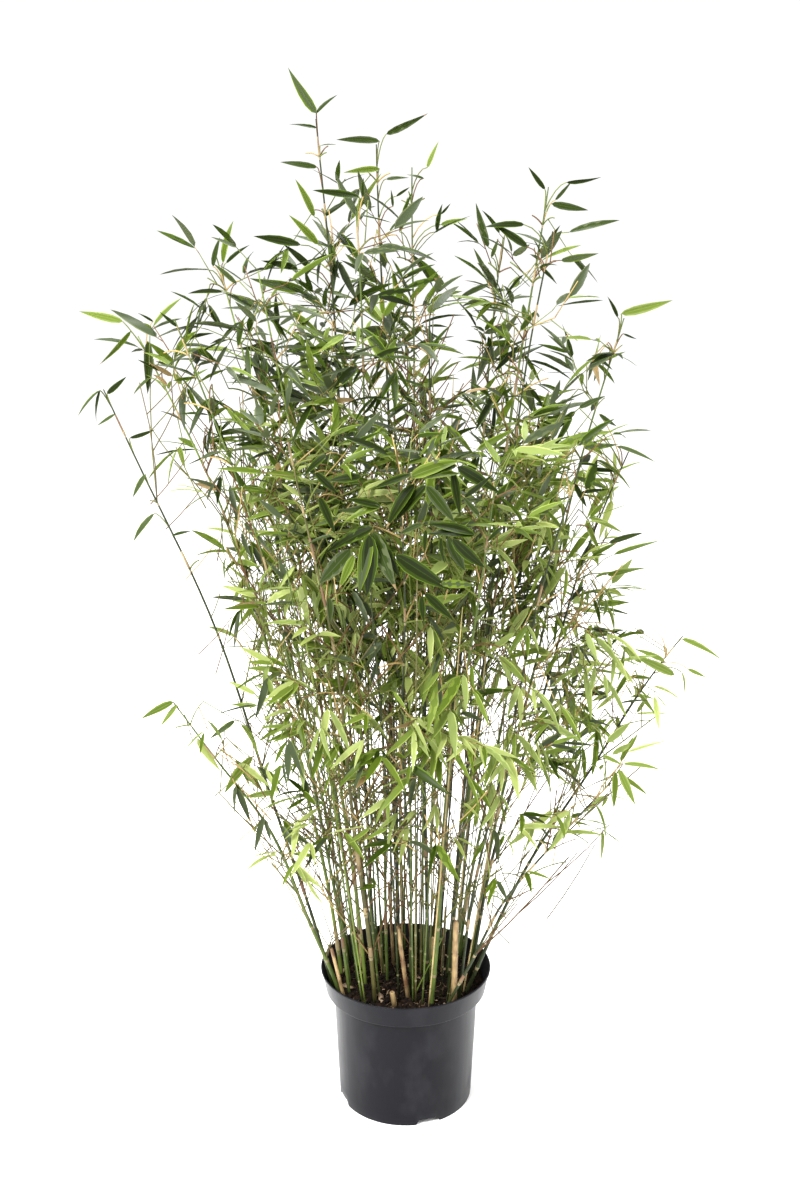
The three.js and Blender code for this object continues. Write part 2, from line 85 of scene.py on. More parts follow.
def make_piece(name, points, faces, finishes, finish_of=None, smooth=True):
    """Puts points and faces into a new mesh object at the origin. A face is a row of four
    point numbers, and one that ends with the same number twice is a triangle."""
    corners = np.where(faces[:, 3] == faces[:, 2], 3, 4)
    kept = np.ones(faces.shape, bool)
    kept[:, 3] = corners == 4
    mesh = bpy.data.meshes.new(name)
    mesh.vertices.add(len(points))
    mesh.loops.add(int(corners.sum()))
    mesh.polygons.add(len(faces))
    mesh.vertices.foreach_set("co", np.ascontiguousarray(points, np.float32).ravel())
    mesh.loops.foreach_set("vertex_index", faces[kept].astype(np.int32))
    mesh.polygons.foreach_set("loop_start", (np.cumsum(corners) - corners).astype(np.int32))
    for finish in finishes:
        mesh.materials.append(finish.material)
    if finish_of is not None:
        mesh.polygons.foreach_set("material_index", np.asarray(finish_of, np.int32).ravel())
    mesh.polygons.foreach_set("use_smooth", np.full(len(faces), smooth))
    mesh.update(calc_edges=True)
    mesh.validate()
    piece = bpy.data.objects.new(name, mesh)
    bpy.context.scene.collection.objects.link(piece)
    return piece


class Shade:
    """A value that changes over a surface: a node's socket, on which + and * add Math nodes."""

    def __init__(self, finish, socket):
        self.finish = finish
        self.socket = socket

    def maths(self, operation, first, second):
        """Adds a Math node for two values, of which either may be a plain number."""
        return self.finish.node("ShaderNodeMath", {"operation": operation}, {0: first, 1: second})

    def __add__(self, other):
        return self.maths("ADD", self, other)

    def __mul__(self, other):
        return self.maths("MULTIPLY", self, other)

    __radd__ = __add__
    __rmul__ = __mul__


class Finish:
    """A material with one Principled shader, whose constant values sit on its own sockets."""

    def __init__(self, name, constants):
        self.material = bpy.data.materials.new(name)
        self.material.use_nodes = True
        self.nodes = self.material.node_tree.nodes
        self.links = self.material.node_tree.links
        self.shader = self.nodes["Principled BSDF"]
        for socket, value in constants.items():
            self.give(socket, value)

    def put(self, socket, value):
        """Sets a socket to a constant, or links a shade to it."""
        if isinstance(value, Shade):
            self.links.new(value.socket, socket)
        else:
            socket.default_value = value

    def give(self, socket, value):
        """Sets one of the shader's sockets."""
        self.put(self.shader.inputs[socket], value)

    def node(self, kind, settings, values, output=0):
        """Adds a node of any kind: first its settings, then its sockets' values or links."""
        made = self.nodes.new(kind)
        for setting, value in settings.items():
            if setting == "stops":
                for stop, (place, shade) in zip(made.color_ramp.elements, value):
                    stop.position = place
                    stop.color = (shade, shade, shade, 1)
            else:
                setattr(made, setting, value)
        for socket, value in values.items():
            self.put(made.inputs[socket], value)
        return Shade(self, made.outputs[output])

    def place(self, stretch=(1, 1, 1), source="Object"):
        """Where a point lies on the piece, with each direction scaled."""
        spot = self.node("ShaderNodeTexCoord", {}, {}, source)
        return self.node("ShaderNodeMapping", {}, {"Vector": spot, "Scale": stretch})

    def noise(self, where, scale, detail=2.0):
        """Smooth random values round 0.5, with bumps of about 1/scale metres."""
        return self.node("ShaderNodeTexNoise", {}, {"Vector": where, "Scale": scale, "Detail": detail})

    def between(self, share, low, high):
        """A ramp that turns a shade from black at low to white at high."""
        return self.node("ShaderNodeValToRGB", {"stops": [(low, 0), (high, 1)]}, {0: share})

    def tint(self, share, first, second):
        """A colour between two others."""
        colours = {0: share, 6: first, 7: second}
        return self.node("ShaderNodeMix", {"data_type": "RGBA"}, colours, 2)

    def relief(self, height, depth):
        """Bumps of a depth in metres that only bend the light."""
        self.give("Normal", self.node("ShaderNodeBump", {}, {"Height": height, "Distance": depth}))


def studio():
    """The floor is one square face far wider than the view, at the height of the pot's foot."""
    reach = np.array([-1, 1, 1, -1]) * FLOOR_REACH
    points = np.stack([reach, np.roll(reach, -1), np.zeros(4)], -1)
    white = Finish("studio_floor", {"Roughness": 0.7})
    mottle = white.between(white.noise(white.place(), 3.0), 0.3, 0.7)
    white.give("Base Color", white.tint(mottle, *((grey, grey, grey, 1) for grey in FLOOR_WHITES)))
    floor = make_piece("studio_floor", points, np.array([[3, 0, 1, 2]]), [white], smooth=False)
    world = bpy.data.worlds.new("surround")
    world.use_nodes = True
    sky = world.node_tree.nodes["Background"].inputs
    sky["Color"].default_value = (1, 1, 1, 1)
    sky["Strength"].default_value = SURROUND
    bpy.context.scene.world = world
    for lamp in LAMPS:
        data = bpy.data.lights.new(lamp["name"], "AREA")
        data.shape = "DISK"
        data.size = lamp["size"]
        data.energy = lamp["watts"]
        light = bpy.data.objects.new(lamp["name"], data)
        light.location = lamp["place"]
        away = unit(np.array(lamp["place"]) - LAMP_TARGET)
        light.rotation_euler = (math.acos(away[2]), 0, math.atan2(away[1], away[0]) + math.pi / 2)
        bpy.context.scene.collection.objects.link(light)


studio()
camera = bpy.data.objects.new("camera", bpy.data.cameras.new("camera"))
camera.data.lens = CAMERA_LENS_MM
camera.data.sensor_width = CAMERA_SENSOR_MM
camera.location = CAMERA_PLACE
camera.rotation_euler = (math.radians(90 - CAMERA_PITCH_DEG), 0, 0)
bpy.context.scene.collection.objects.link(camera)
bpy.context.scene.camera = camera
bpy.context.scene.view_settings.view_transform = "Standard"


# Pot
# A round nursery pot of black plastic, injection moulded in one piece: a tapering body on a
# foot ring with four drain notches, and below its thin lip a wide band to carry it by.
POT_COLUMNS = 336
POT_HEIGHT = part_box("pot")[1][2]
RIM_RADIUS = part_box("pot")[1][0]
LIP_HEIGHT = 0.0028
LIP_STEP = 0.0009
BAND_FOOT = POT_HEIGHT - 0.038
BAND_RADIUS = 0.132
SHOULDER_RADIUS = 0.119
SHOULDER_DROP = 0.003
FOOT_RADIUS = 0.110
FOOT_WIDTH = 0.006
FOOT_BLEND = 0.02
WALL = 0.0022
FLOOR_HEIGHT = 0.0095
PAD_RADIUS = 0.036
PAD_SLOPE = 0.002
PRESSED_INSIDE = 0.001
INNER_ROWS = 14
UNPRESSED_ROWS = 6
NOTCH_COUNT = 4
NOTCH_FIRST_DEG = 19.6
NOTCH_WIDTH = 0.042
NOTCH_TOP_WIDTH = 0.030
NOTCH_HEIGHT = 0.008
POT_BLACK = (0.0040, 0.0040, 0.0062, 1)
POT_SCUFFED = (0.014, 0.014, 0.017, 1)
POT_DUSTY = (0.012, 0.009, 0.007, 1)


def rounded(corners, steps=4):
    """A line through corners (along, up, rounding): each corner gives way to a quadratic curve
    that starts and ends its rounding away from it."""
    corners = np.array(corners)
    place = corners[:, :2]
    before = unit(np.roll(place, 1, 0) - place)
    after = unit(np.roll(place, -1, 0) - place)
    share = np.linspace(0, 1, steps)[None, :, None]
    start = (place + before * corners[:, 2:])[:, None]
    end = (place + after * corners[:, 2:])[:, None]
    curve = (1 - share) ** 2 * start + 2 * share * (1 - share) * place[:, None] + share ** 2 * end
    return curve.reshape(-1, 2)


def turned(profile, columns):
    """A profile (radius, height) turned round the Z axis: (row, column, xyz)."""
    turn = np.arange(columns) / columns * 2 * np.pi
    radius, height = profile[:, 0, None], profile[:, 1, None] + 0 * turn
    return np.stack([radius * np.cos(turn), radius * np.sin(turn), height], -1)


def closed_skin(grid):
    """Points and faces of closed surfaces (piece, row, column, xyz) that run from pole to pole.
    The last column joins the first, and the first and last row shrink to one point each."""
    number = np.arange(grid[..., 0].size).reshape(grid.shape[:3])
    number[:, 0] = number[:, 0, :1]
    number[:, -1] = number[:, -1, :1]
    beside = np.roll(number, -1, 2)
    faces = np.stack([number[:, :-1], beside[:, :-1], beside[:, 1:], number[:, 1:]], -1).reshape(-1, 4)
    polar = faces[:, 0] == faces[:, 1]
    faces[polar] = faces[polar][:, [2, 3, 0, 0]]
    used, faces = np.unique(faces, return_inverse=True)
    return grid.reshape(-1, 3)[used], faces.reshape(-1, 4)


def notch_height(turn):
    """How high the foot ring is cut away: a trapezium round each notch's middle, at the foot."""
    pitch = 2 * np.pi / NOTCH_COUNT
    middle = math.radians(NOTCH_FIRST_DEG - 90)
    off = np.abs((turn - middle + pitch / 2) % pitch - pitch / 2) * FOOT_RADIUS
    slope = (NOTCH_WIDTH - NOTCH_TOP_WIDTH) / 2
    return NOTCH_HEIGHT * np.clip((NOTCH_WIDTH / 2 - off) / slope, 0, 1)


def make_pot():
    """The wall's profile, corners with their roundings, is turned, and its foot is then pressed
    up over the notches."""
    lip_foot = POT_HEIGHT - LIP_HEIGHT
    band_share = (lip_foot - BAND_FOOT) / (POT_HEIGHT - BAND_FOOT)
    band_top = BAND_RADIUS + (RIM_RADIUS - BAND_RADIUS) * band_share
    foot_share = FOOT_BLEND / (BAND_FOOT - SHOULDER_DROP)
    outside = rounded([
        (PAD_RADIUS, 0, 0.0006),
        (PAD_RADIUS + PAD_SLOPE, FLOOR_HEIGHT, 0.0006),
        (FOOT_RADIUS - FOOT_WIDTH, FLOOR_HEIGHT, 0.0008),
        (FOOT_RADIUS - FOOT_WIDTH, 0, 0.0006),
        (FOOT_RADIUS, 0, 0.0014),
        (FOOT_RADIUS + (SHOULDER_RADIUS - FOOT_RADIUS) * foot_share, FOOT_BLEND, 0.0005),
        (SHOULDER_RADIUS, BAND_FOOT - SHOULDER_DROP, 0.001),
        (BAND_RADIUS, BAND_FOOT, 0.0016),
        (band_top - LIP_STEP, lip_foot - 0.0004, 0.0003),
        (RIM_RADIUS, lip_foot, 0.0005),
        (RIM_RADIUS, POT_HEIGHT, 0.0008),
        (RIM_RADIUS - WALL, POT_HEIGHT, 0.0007),
        (BAND_RADIUS - WALL, BAND_FOOT + SHOULDER_DROP, 0.0012),
        (SHOULDER_RADIUS - WALL, BAND_FOOT, 0.0012),
        (FOOT_RADIUS - WALL + 0.0005, FLOOR_HEIGHT + WALL, 0.0012),
    ])
    profile = np.concatenate([[[0, 0]], outside, [[0, FLOOR_HEIGHT + WALL]]])
    grid = turned(profile, POT_COLUMNS)
    radius = np.hypot(grid[..., 0], grid[..., 1])
    turn = np.arctan2(grid[..., 1], grid[..., 0])
    reach = np.where(radius > FOOT_RADIUS - FOOT_WIDTH / 2, FOOT_BLEND, FLOOR_HEIGHT)
    pressed = (radius > FOOT_RADIUS - FOOT_WIDTH - PRESSED_INSIDE) & (grid[..., 2] < reach)
    pressed[-UNPRESSED_ROWS:] = False
    lift = notch_height(turn)
    grid[..., 2] = np.where(pressed, lift + grid[..., 2] * (1 - lift / reach), grid[..., 2])
    points, faces = closed_skin(grid[None])

    plastic = Finish("black_plastic", {"Specular IOR Level": 0.12})
    drawn = plastic.noise(plastic.place((1, 1, 0.05)), 90)
    grain = plastic.noise(plastic.place(), 1400)
    scuffs = plastic.between(plastic.noise(plastic.place((1, 1, 0.6)), 22, 5.0), 0.5, 0.78)
    plastic.give("Base Color", plastic.tint(scuffs, POT_BLACK, POT_SCUFFED))
    plastic.give("Roughness", 0.28 + 0.16 * scuffs + 0.08 * drawn)
    plastic.relief(drawn * 0.6 + grain * 0.12, 0.0003)

    inner = Finish("black_plastic_inside", {"Roughness": 0.75, "Specular IOR Level": 0.2})
    dust = inner.between(inner.noise(inner.place((1, 1, 0.4)), 45, 4.0), 0.42, 0.7)
    inner.give("Base Color", inner.tint(dust, POT_BLACK, POT_DUSTY))
    inner.relief(dust, 0.0002)

    inside = np.zeros((len(profile) - 1, POT_COLUMNS), int)
    inside[-INNER_ROWS:] = 1
    pot = make_piece("nursery_pot", points, faces, [plastic, inner], inside)
    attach(pot, "root")
    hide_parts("pot")


make_pot()


# Potting mix
# Damp dark peat with bark crumbs, a few root fibres and pale wood chips, pressed by hand into
# the pot to a finger's width below the rim. Its top is lumpy and slightly heaped round the canes.
MIX_COLUMNS = 200
MIX_RINGS = 64
MIX_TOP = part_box("potting_mix")[1][2]
MIX_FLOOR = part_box("potting_mix")[0][2]
MIX_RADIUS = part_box("potting_mix")[1][0] - 0.0004
MIX_WAIST = 0.108
MIX_CHAMFER = 0.002
MIX_HEAP = 0.001
MIX_EDGE_DROP = 0.006
MIX_WITHIN = 0.97
PEAT = (0.0040, 0.0023, 0.0013, 1)
PEAT_RED = (0.016, 0.008, 0.0038, 1)
CRUMB_BROWNS = ((0.003, 0.0018, 0.0011, 1), (0.018, 0.009, 0.0042, 1))
CRUMB_DARK = (0.005, 0.003, 0.002, 1)
CHIP_BROWNS = ((0.10, 0.062, 0.035, 1), (0.30, 0.21, 0.13, 1))
FIBRE_BROWNS = ((0.05, 0.028, 0.014, 1), (0.22, 0.14, 0.075, 1))
LUMPS = [(0.030, 0.0032), (0.011, 0.0022), (0.0045, 0.0013)]
GOLDEN_DEG = 137.5
SCATTER_TURN = 0.8
SCATTER_INWARD = 0.9
CRUMB_COUNT = 1500
CRUMB_SEED = 11
CRUMB_ROWS = 5
CRUMB_COLUMNS = 6
CRUMB_SIZES = (0.0012, 0.0042)
CRUMB_ROUGH = (0.75, 1.2)
CRUMB_LONG = (0.8, 1.5)
CRUMB_HIGH = (0.5, 0.9)
CRUMB_TILT = 0.6
CRUMB_PROUD = 0.25
DARK_CRUMB_CHANCE = 0.55
CHIP_COUNT = 26
CHIP_FIRST = 7
CHIP_SIZE = 1.5
CHIP_STRETCH = (1.9, 0.9, 0.35)
FIBRE_COUNT = 170
FIBRE_SEED = 23
FIBRE_WITHIN = 0.9
FIBRE_LONG = (0.008, 0.03)
FIBRE_CURL = 1.4
FIBRE_RISE = (0.0005, 0.003)
FIBRE_RADII = (0.0002, 0.00045)
FIBRE_ROWS = 6
FIBRE_SIDES = 3


def pick(cane, twig, use):
    """A repeatable value from 0 to 1 for whole numbers: the fraction of a large sine. The last
    number tells one use of it from the others."""
    swing = np.sin(cane * 12.9898 + twig * 78.233 + use * 37.719) * 43758.5453
    return swing - np.floor(swing)


def blend(first, second, share):
    """The value a share of the way from the first to the second."""
    return first + (second - first) * share


def bumps(x, y, size, seed):
    """Smooth random heights from -1 to 1: picked values on a square lattice of a size, blended
    between neighbours by the share squared times three minus twice the share."""
    column, row = np.floor(x / size), np.floor(y / size)
    across, up = x / size - column, y / size - row
    across, up = across ** 2 * (3 - 2 * across), up ** 2 * (3 - 2 * up)
    low = blend(pick(column, row, seed), pick(column + 1, row, seed), across)
    high = blend(pick(column, row + 1, seed), pick(column + 1, row + 1, seed), across)
    return 2 * blend(low, high, up) - 1


def mix_height(x, y):
    """Height of the mix over a place: bumps of several sizes, falling a little at the wall."""
    edge = np.clip(np.hypot(x, y) / MIX_RADIUS, 0, 1)
    height = MIX_TOP + MIX_HEAP - MIX_EDGE_DROP * edge ** 4
    for seed, (size, depth) in enumerate(LUMPS):
        height = height + depth * bumps(x, y, size, seed + 3)
    return height


def make_mix():
    """A turned body whose top rings take the height of the mix at their place."""
    top = np.linspace(MIX_RADIUS, 0, MIX_RINGS)
    profile = np.concatenate([
        [[0, MIX_FLOOR], [MIX_WAIST - MIX_CHAMFER, MIX_FLOOR], [MIX_WAIST, MIX_FLOOR + MIX_CHAMFER]],
        [[SHOULDER_RADIUS - WALL - 0.001, BAND_FOOT], [MIX_RADIUS - 0.003, MIX_TOP - 0.011]],
        np.stack([top, top * 0 + MIX_TOP], -1),
    ])
    grid = turned(profile, MIX_COLUMNS)
    grid[-MIX_RINGS:, :, 2] = mix_height(grid[-MIX_RINGS:, :, 0], grid[-MIX_RINGS:, :, 1])
    points, faces = closed_skin(grid[None])
    peat = Finish("damp_peat", {"Roughness": 0.95, "Specular IOR Level": 0.08})
    clods = peat.noise(peat.place(), 260, 4.0)
    red = peat.between(peat.noise(peat.place(), 120, 3.0), 0.48, 0.66)
    peat.give("Base Color", peat.tint(red, PEAT, PEAT_RED))
    peat.relief(clods, 0.002)
    mix = make_piece("potting_mix_body", points, faces, [peat])
    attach(mix, "root")
    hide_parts("potting_mix")


def scatter(count, seed, most=MIX_WITHIN):
    """Places evenly over the mix: a sunflower's spiral, each place shifted a little at random."""
    random = np.random.default_rng(seed)
    number = np.arange(count) + 0.5
    radius = MIX_RADIUS * most * np.sqrt(number / count)
    turn = np.radians(GOLDEN_DEG) * number + random.uniform(-SCATTER_TURN, SCATTER_TURN, count)
    radius = radius * random.uniform(SCATTER_INWARD, 1.0, count)
    return radius * np.cos(turn), radius * np.sin(turn), random


def make_crumbs():
    """Crumbs and chips are balls of a few points, each stretched along its own axes and with
    every point pushed in or out at random, half sunk in the mix."""
    x, y, random = scatter(CRUMB_COUNT + CHIP_COUNT, CRUMB_SEED)
    count = len(x)
    chip = np.arange(count) % (count // CHIP_COUNT) == CHIP_FIRST
    fall = np.linspace(0, np.pi, CRUMB_ROWS)[:, None]
    turn = np.arange(CRUMB_COLUMNS) / CRUMB_COLUMNS * 2 * np.pi
    out = np.sin(fall)
    ball = np.stack([out * np.cos(turn), out * np.sin(turn), -np.cos(fall) + 0 * turn], -1)
    ball = ball[None] * random.uniform(*CRUMB_ROUGH, (count, CRUMB_ROWS, CRUMB_COLUMNS, 1))
    ball[:, 0], ball[:, -1] = ball[:, 0, :1], ball[:, -1, :1]
    size = random.uniform(*CRUMB_SIZES, count) * np.where(chip, CHIP_SIZE, 1)
    long = random.uniform(*CRUMB_LONG, count)
    stretch = np.stack([long, np.ones(count), random.uniform(*CRUMB_HIGH, count)], -1)
    stretch[chip] *= CHIP_STRETCH
    ball = ball * (size[:, None] * stretch)[:, None, None]
    turn = random.uniform(0, 2 * np.pi, count)[:, None, None]
    tilt = random.uniform(-CRUMB_TILT, CRUMB_TILT, count)[:, None, None]
    along, aside, up = ball[..., 0], ball[..., 1], ball[..., 2]
    along, up = along * np.cos(tilt) - up * np.sin(tilt), along * np.sin(tilt) + up * np.cos(tilt)
    along, aside = along * np.cos(turn) - aside * np.sin(turn), along * np.sin(turn) + aside * np.cos(turn)
    ball = np.stack([along, aside, up], -1)
    middle = np.stack([x, y, mix_height(x, y) + size * CRUMB_PROUD], -1)
    points, faces = closed_skin(ball + middle[:, None, None])
    crumb = Finish("bark_crumb", {"Roughness": 0.9, "Specular IOR Level": 0.1})
    shade = crumb.noise(crumb.place(), 500, 3.0)
    crumb.give("Base Color", crumb.tint(shade, *CRUMB_BROWNS))
    crumb.relief(shade, 0.0006)
    dark = Finish("dark_crumb", {"Roughness": 0.9, "Specular IOR Level": 0.1, "Base Color": CRUMB_DARK})
    dark.relief(dark.noise(dark.place(), 900, 3.0), 0.0005)
    wood = Finish("pale_chip", {"Roughness": 0.8})
    wood.give("Base Color", wood.tint(wood.noise(wood.place((1, 1, 4)), 300, 3.0), *CHIP_BROWNS))
    kind = np.where(chip, 2, (random.uniform(0, 1, count) < DARK_CRUMB_CHANCE).astype(int))
    kind = np.repeat(kind, (CRUMB_ROWS - 1) * CRUMB_COLUMNS)
    crumbs = make_piece("bark_crumbs", points, faces, [crumb, dark, wood], kind)
    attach(crumbs, "root")


def tubes(path, radius, sides, tip=1.0):
    """Closed tubes round paths (piece, row, xyz): rings square to the path at even turns, from a
    flat pole at the start to a pole that stands out by tip radii at the end."""
    heading = unit(np.gradient(path, axis=1))
    least = np.abs(heading.mean(1)).argmin(-1)
    across = unit(np.cross(heading, np.eye(3)[least][:, None]))
    turn = np.arange(sides) / sides * 2 * np.pi
    aside = np.cross(heading, across)
    ring = across[:, :, None] * np.cos(turn)[:, None] + aside[:, :, None] * np.sin(turn)[:, None]
    grid = path[:, :, None] + radius[:, :, None, None] * ring
    start = np.repeat(path[:, :1, None], sides, 2)
    end = np.repeat((path[:, -1] + heading[:, -1] * radius[:, -1:] * tip)[:, None, None], sides, 2)
    return closed_skin(np.concatenate([start, grid, end], 1))


def make_fibres():
    """Root fibres are thin tubes along flat random arcs that touch the mix."""
    x, y, random = scatter(FIBRE_COUNT, FIBRE_SEED, FIBRE_WITHIN)
    share = np.linspace(-0.5, 0.5, FIBRE_ROWS)
    length = random.uniform(*FIBRE_LONG, (FIBRE_COUNT, 1))
    curl = random.uniform(-FIBRE_CURL, FIBRE_CURL, (FIBRE_COUNT, 1))
    turn = random.uniform(0, 2 * np.pi, (FIBRE_COUNT, 1)) + curl * share
    along = x[:, None] + length * share * np.cos(turn)
    aside = y[:, None] + length * share * np.sin(turn)
    inward = np.minimum(1, MIX_RADIUS * MIX_WITHIN / np.hypot(along, aside))
    along, aside = along * inward, aside * inward
    rise = random.uniform(*FIBRE_RISE, (FIBRE_COUNT, 1)) * (1 - 3 * share ** 2)
    path = np.stack([along, aside, mix_height(along, aside) + rise], -1)
    radius = random.uniform(*FIBRE_RADII, (FIBRE_COUNT, 1)) + 0 * share
    points, faces = tubes(path, radius, FIBRE_SIDES)
    root = Finish("root_fibre", {"Roughness": 0.8})
    root.give("Base Color", root.tint(root.noise(root.place(), 200), *FIBRE_BROWNS))
    fibres = make_piece("root_fibres", points, faces, [root])
    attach(fibres, "root")


make_mix()
make_crumbs()
make_fibres()


# Canes
# Hollow green culms that lean out of the mix and taper to the tip. Every hand's width one has
# a node: a pale scar where a sheath stood, and above it a swollen ridge that twigs grow from.
SPACING = 0.090
FIRST_NODE = 0.35
CANE_FOOT_RADIUS = 0.0034
CANE_TIP_RADIUS = 0.0011
CANE_STOUT = (0.70, 1.08)
CANE_SIDES = 9
CANE_SUNK = 0.012
CANE_SWAY = 0.006
SWAY_WAVES = (1.3, 1.7)
HEADING_STEP = 0.002
CANE_END_SWELL = 0.8
LOWEST_NODE = 0.02
BEND_RISE_SHARE = 0.125
NODE_AT = np.array([-0.0045, -0.0014, -0.0005, 0.0005, 0.0016, 0.0060])
NODE_SWELL = np.array([1.0, 1.04, 1.20, 1.13, 1.20, 1.0])
NODE_MARK = np.array([0, 1, 2, 2, 0, 0])
BETWEEN_NODES = np.array([0.35, 0.68])
# Each cane: foot and tip, in metres, the share of it below its foliage, how much it arches
# outwards, and how wide and how dense its foliage is, where 1 is usual.
CANES = {
    "lone": ((-0.121, -0.021), (-0.440, -0.045, 1.196), 0.45, 0.25, 0.25, 0.8),
    "left_outer": ((-0.107, 0.012), (-0.400, 0.040, 1.262), 0.42, 0.55, 0.8, 1.0),
    "left_front": ((-0.092, -0.050), (-0.318, -0.150, 1.310), 0.36, 0.5, 0.95, 1.0),
    "left_tall": ((-0.080, 0.040), (-0.285, 0.090, 1.375), 0.4, 0.45, 0.85, 1.0),
    "left_inner": ((-0.066, -0.024), (-0.212, -0.035, 1.365), 0.34, 0.35, 0.9, 1.0),
    "tallest": ((-0.054, 0.022), (-0.131, 0.060, 1.572), 0.36, 0.3, 0.75, 1.0),
    "centre_front": ((-0.030, -0.012), (-0.070, -0.085, 1.450), 0.34, 0.3, 0.85, 1.0),
    "centre_tall": ((-0.012, 0.062), (-0.045, 0.150, 1.535), 0.38, 0.3, 0.75, 1.0),
    "centre": ((0.008, 0.018), (0.008, 0.040, 1.505), 0.4, 0.2, 0.65, 1.0),
    "centre_right": ((0.034, -0.020), (0.032, -0.120, 1.310), 0.34, 0.3, 0.8, 1.0),
    "right_back": ((0.056, 0.066), (0.148, 0.135, 1.400), 0.4, 0.35, 0.75, 1.0),
    "right_tall": ((0.072, 0.012), (0.205, 0.025, 1.478), 0.38, 0.25, 0.75, 1.0),
    "right_front": ((0.070, -0.034), (0.200, -0.112, 1.425), 0.36, 0.4, 0.8, 1.0),
    "right_outer": ((0.110, 0.047), (0.330, 0.085, 1.283), 0.36, 0.25, 0.75, 1.0),
    "right_side": ((0.108, 0.008), (0.322, -0.075, 1.110), 0.36, 0.35, 0.95, 1.0),
    "right_low": ((0.100, -0.042), (0.432, 0.015, 0.800), 0.42, 0.25, 0.9, 1.3),
    "right_near": ((0.086, -0.066), (0.240, -0.215, 1.130), 0.3, 0.35, 0.95, 1.0),
    "front": ((0.008, -0.056), (-0.012, -0.318, 1.140), 0.3, 0.45, 1.0, 1.15),
    "front_left": ((-0.050, -0.072), (-0.158, -0.285, 1.175), 0.29, 0.4, 1.0, 1.1),
    "front_right": ((0.042, -0.078), (0.122, -0.275, 1.130), 0.29, 0.4, 1.0, 1.1),
    "back_left": ((-0.058, 0.084), (-0.200, 0.262, 1.230), 0.36, 0.4, 1.0, 1.0),
    "back": ((-0.004, 0.112), (-0.020, 0.305, 1.300), 0.36, 0.4, 1.0, 1.0),
    "back_right": ((0.046, 0.096), (0.175, 0.268, 1.215), 0.38, 0.4, 1.0, 1.0),
    "back_far_left": ((-0.098, 0.060), (-0.270, 0.200, 1.080), 0.36, 0.35, 1.0, 1.0),
    "back_far_right": ((0.092, 0.080), (0.275, 0.215, 1.080), 0.36, 0.35, 1.0, 1.0),
    "left_low": ((-0.108, -0.048), (-0.345, -0.130, 0.742), 0.42, 0.35, 0.85, 1.2),
    "right_short": ((0.064, -0.096), (0.300, -0.190, 0.640), 0.42, 0.3, 0.8, 1.5),
}
foot, tip, bare, arch, wide, fill = (np.array(column) for column in zip(*CANES.values()))
foot = np.column_stack([foot, np.full(len(CANES), MIX_TOP + 0.0003)])
lean = 0.5 - arch[:, None] / 2
bend = np.column_stack([
    blend(foot[:, :2], tip[:, :2], lean),
    blend(foot[:, 2], tip[:, 2], 0.5 + arch * BEND_RISE_SHARE),
])


def on_cane(cane, share):
    """Points on canes: the quadratic curve from foot by bend to tip, swayed sideways by slow
    waves that fade out at both ends."""
    part = np.asarray(share)[..., None]
    smooth = (1 - part) ** 2 * foot[cane] + 2 * part * (1 - part) * bend[cane] + part ** 2 * tip[cane]
    fade = CANE_SWAY * np.sin(np.pi * np.clip(share, 0, 1))
    sway_x = fade * np.sin(2 * np.pi * (SWAY_WAVES[0] * share + pick(cane, 1, 51)))
    sway_y = fade * np.sin(2 * np.pi * (SWAY_WAVES[1] * share + pick(cane, 2, 51)))
    return smooth + np.stack([sway_x, sway_y, 0 * sway_x], -1)


def cane_heading(cane, share):
    """The direction in which canes grow at a share of their length."""
    return unit(on_cane(cane, share + HEADING_STEP) - on_cane(cane, share - HEADING_STEP))


def cane_radius(cane, share):
    """Half the thickness of canes at a share of their length. Some are stouter than others."""
    stout = blend(*CANE_STOUT, pick(cane, 3, 51))
    return blend(CANE_FOOT_RADIUS * stout, CANE_TIP_RADIUS, np.clip(share, 0, 1))


every_cane = np.arange(len(CANES))
tall = np.diff(on_cane(every_cane[:, None], np.linspace(0, 1, 200)), axis=1)
tall = np.linalg.norm(tall, axis=-1).sum(1)
leafy_nodes = np.round(tall * (1 - bare) * fill / SPACING).astype(int)


def node_share(cane, number):
    """The share of a cane at which a node stands. Numbers below 0 are under its foliage."""
    return blend(bare[cane], 1, (number + FIRST_NODE) / leafy_nodes[cane])


CULM_COLOURS = {
    "green": ((0.038, 0.062, 0.012, 1), (0.085, 0.115, 0.024, 1)),
    "young": ((0.080, 0.125, 0.018, 1), (0.150, 0.195, 0.036, 1)),
    "deep": ((0.011, 0.017, 0.005, 1), (0.032, 0.040, 0.012, 1)),
    "olive": ((0.050, 0.048, 0.013, 1), (0.105, 0.092, 0.030, 1)),
    "dry": ((0.220, 0.165, 0.070, 1), (0.400, 0.310, 0.140, 1)),
}
LEFT_CULMS = np.array([0, 0, 1, 2])
MIDDLE_CULMS = np.array([2, 2, 3, 0])
LEFT_UNTIL = -0.055
SCAR_BROWNS = ((0.09, 0.055, 0.03, 1), (0.30, 0.22, 0.12, 1))
RIDGE_GREENS = ((0.10, 0.105, 0.035, 1), (0.22, 0.21, 0.10, 1))


def culm_finish(name, colours):
    """Waxy green skin: fine lines along the culm, blotches, and a soft gloss."""
    skin = Finish("culm_" + name, {"Specular IOR Level": 0.2})
    lines = skin.noise(skin.place((9, 0.5, 1), "UV"), 60, 3.0)
    blotches = skin.between(skin.noise(skin.place(), 38, 4.0), 0.36, 0.66)
    skin.give("Base Color", skin.tint(blotches * 0.7 + lines * 0.3, *colours))
    skin.give("Roughness", 0.36 + 0.18 * lines)
    skin.relief(lines, 0.00015)
    return skin


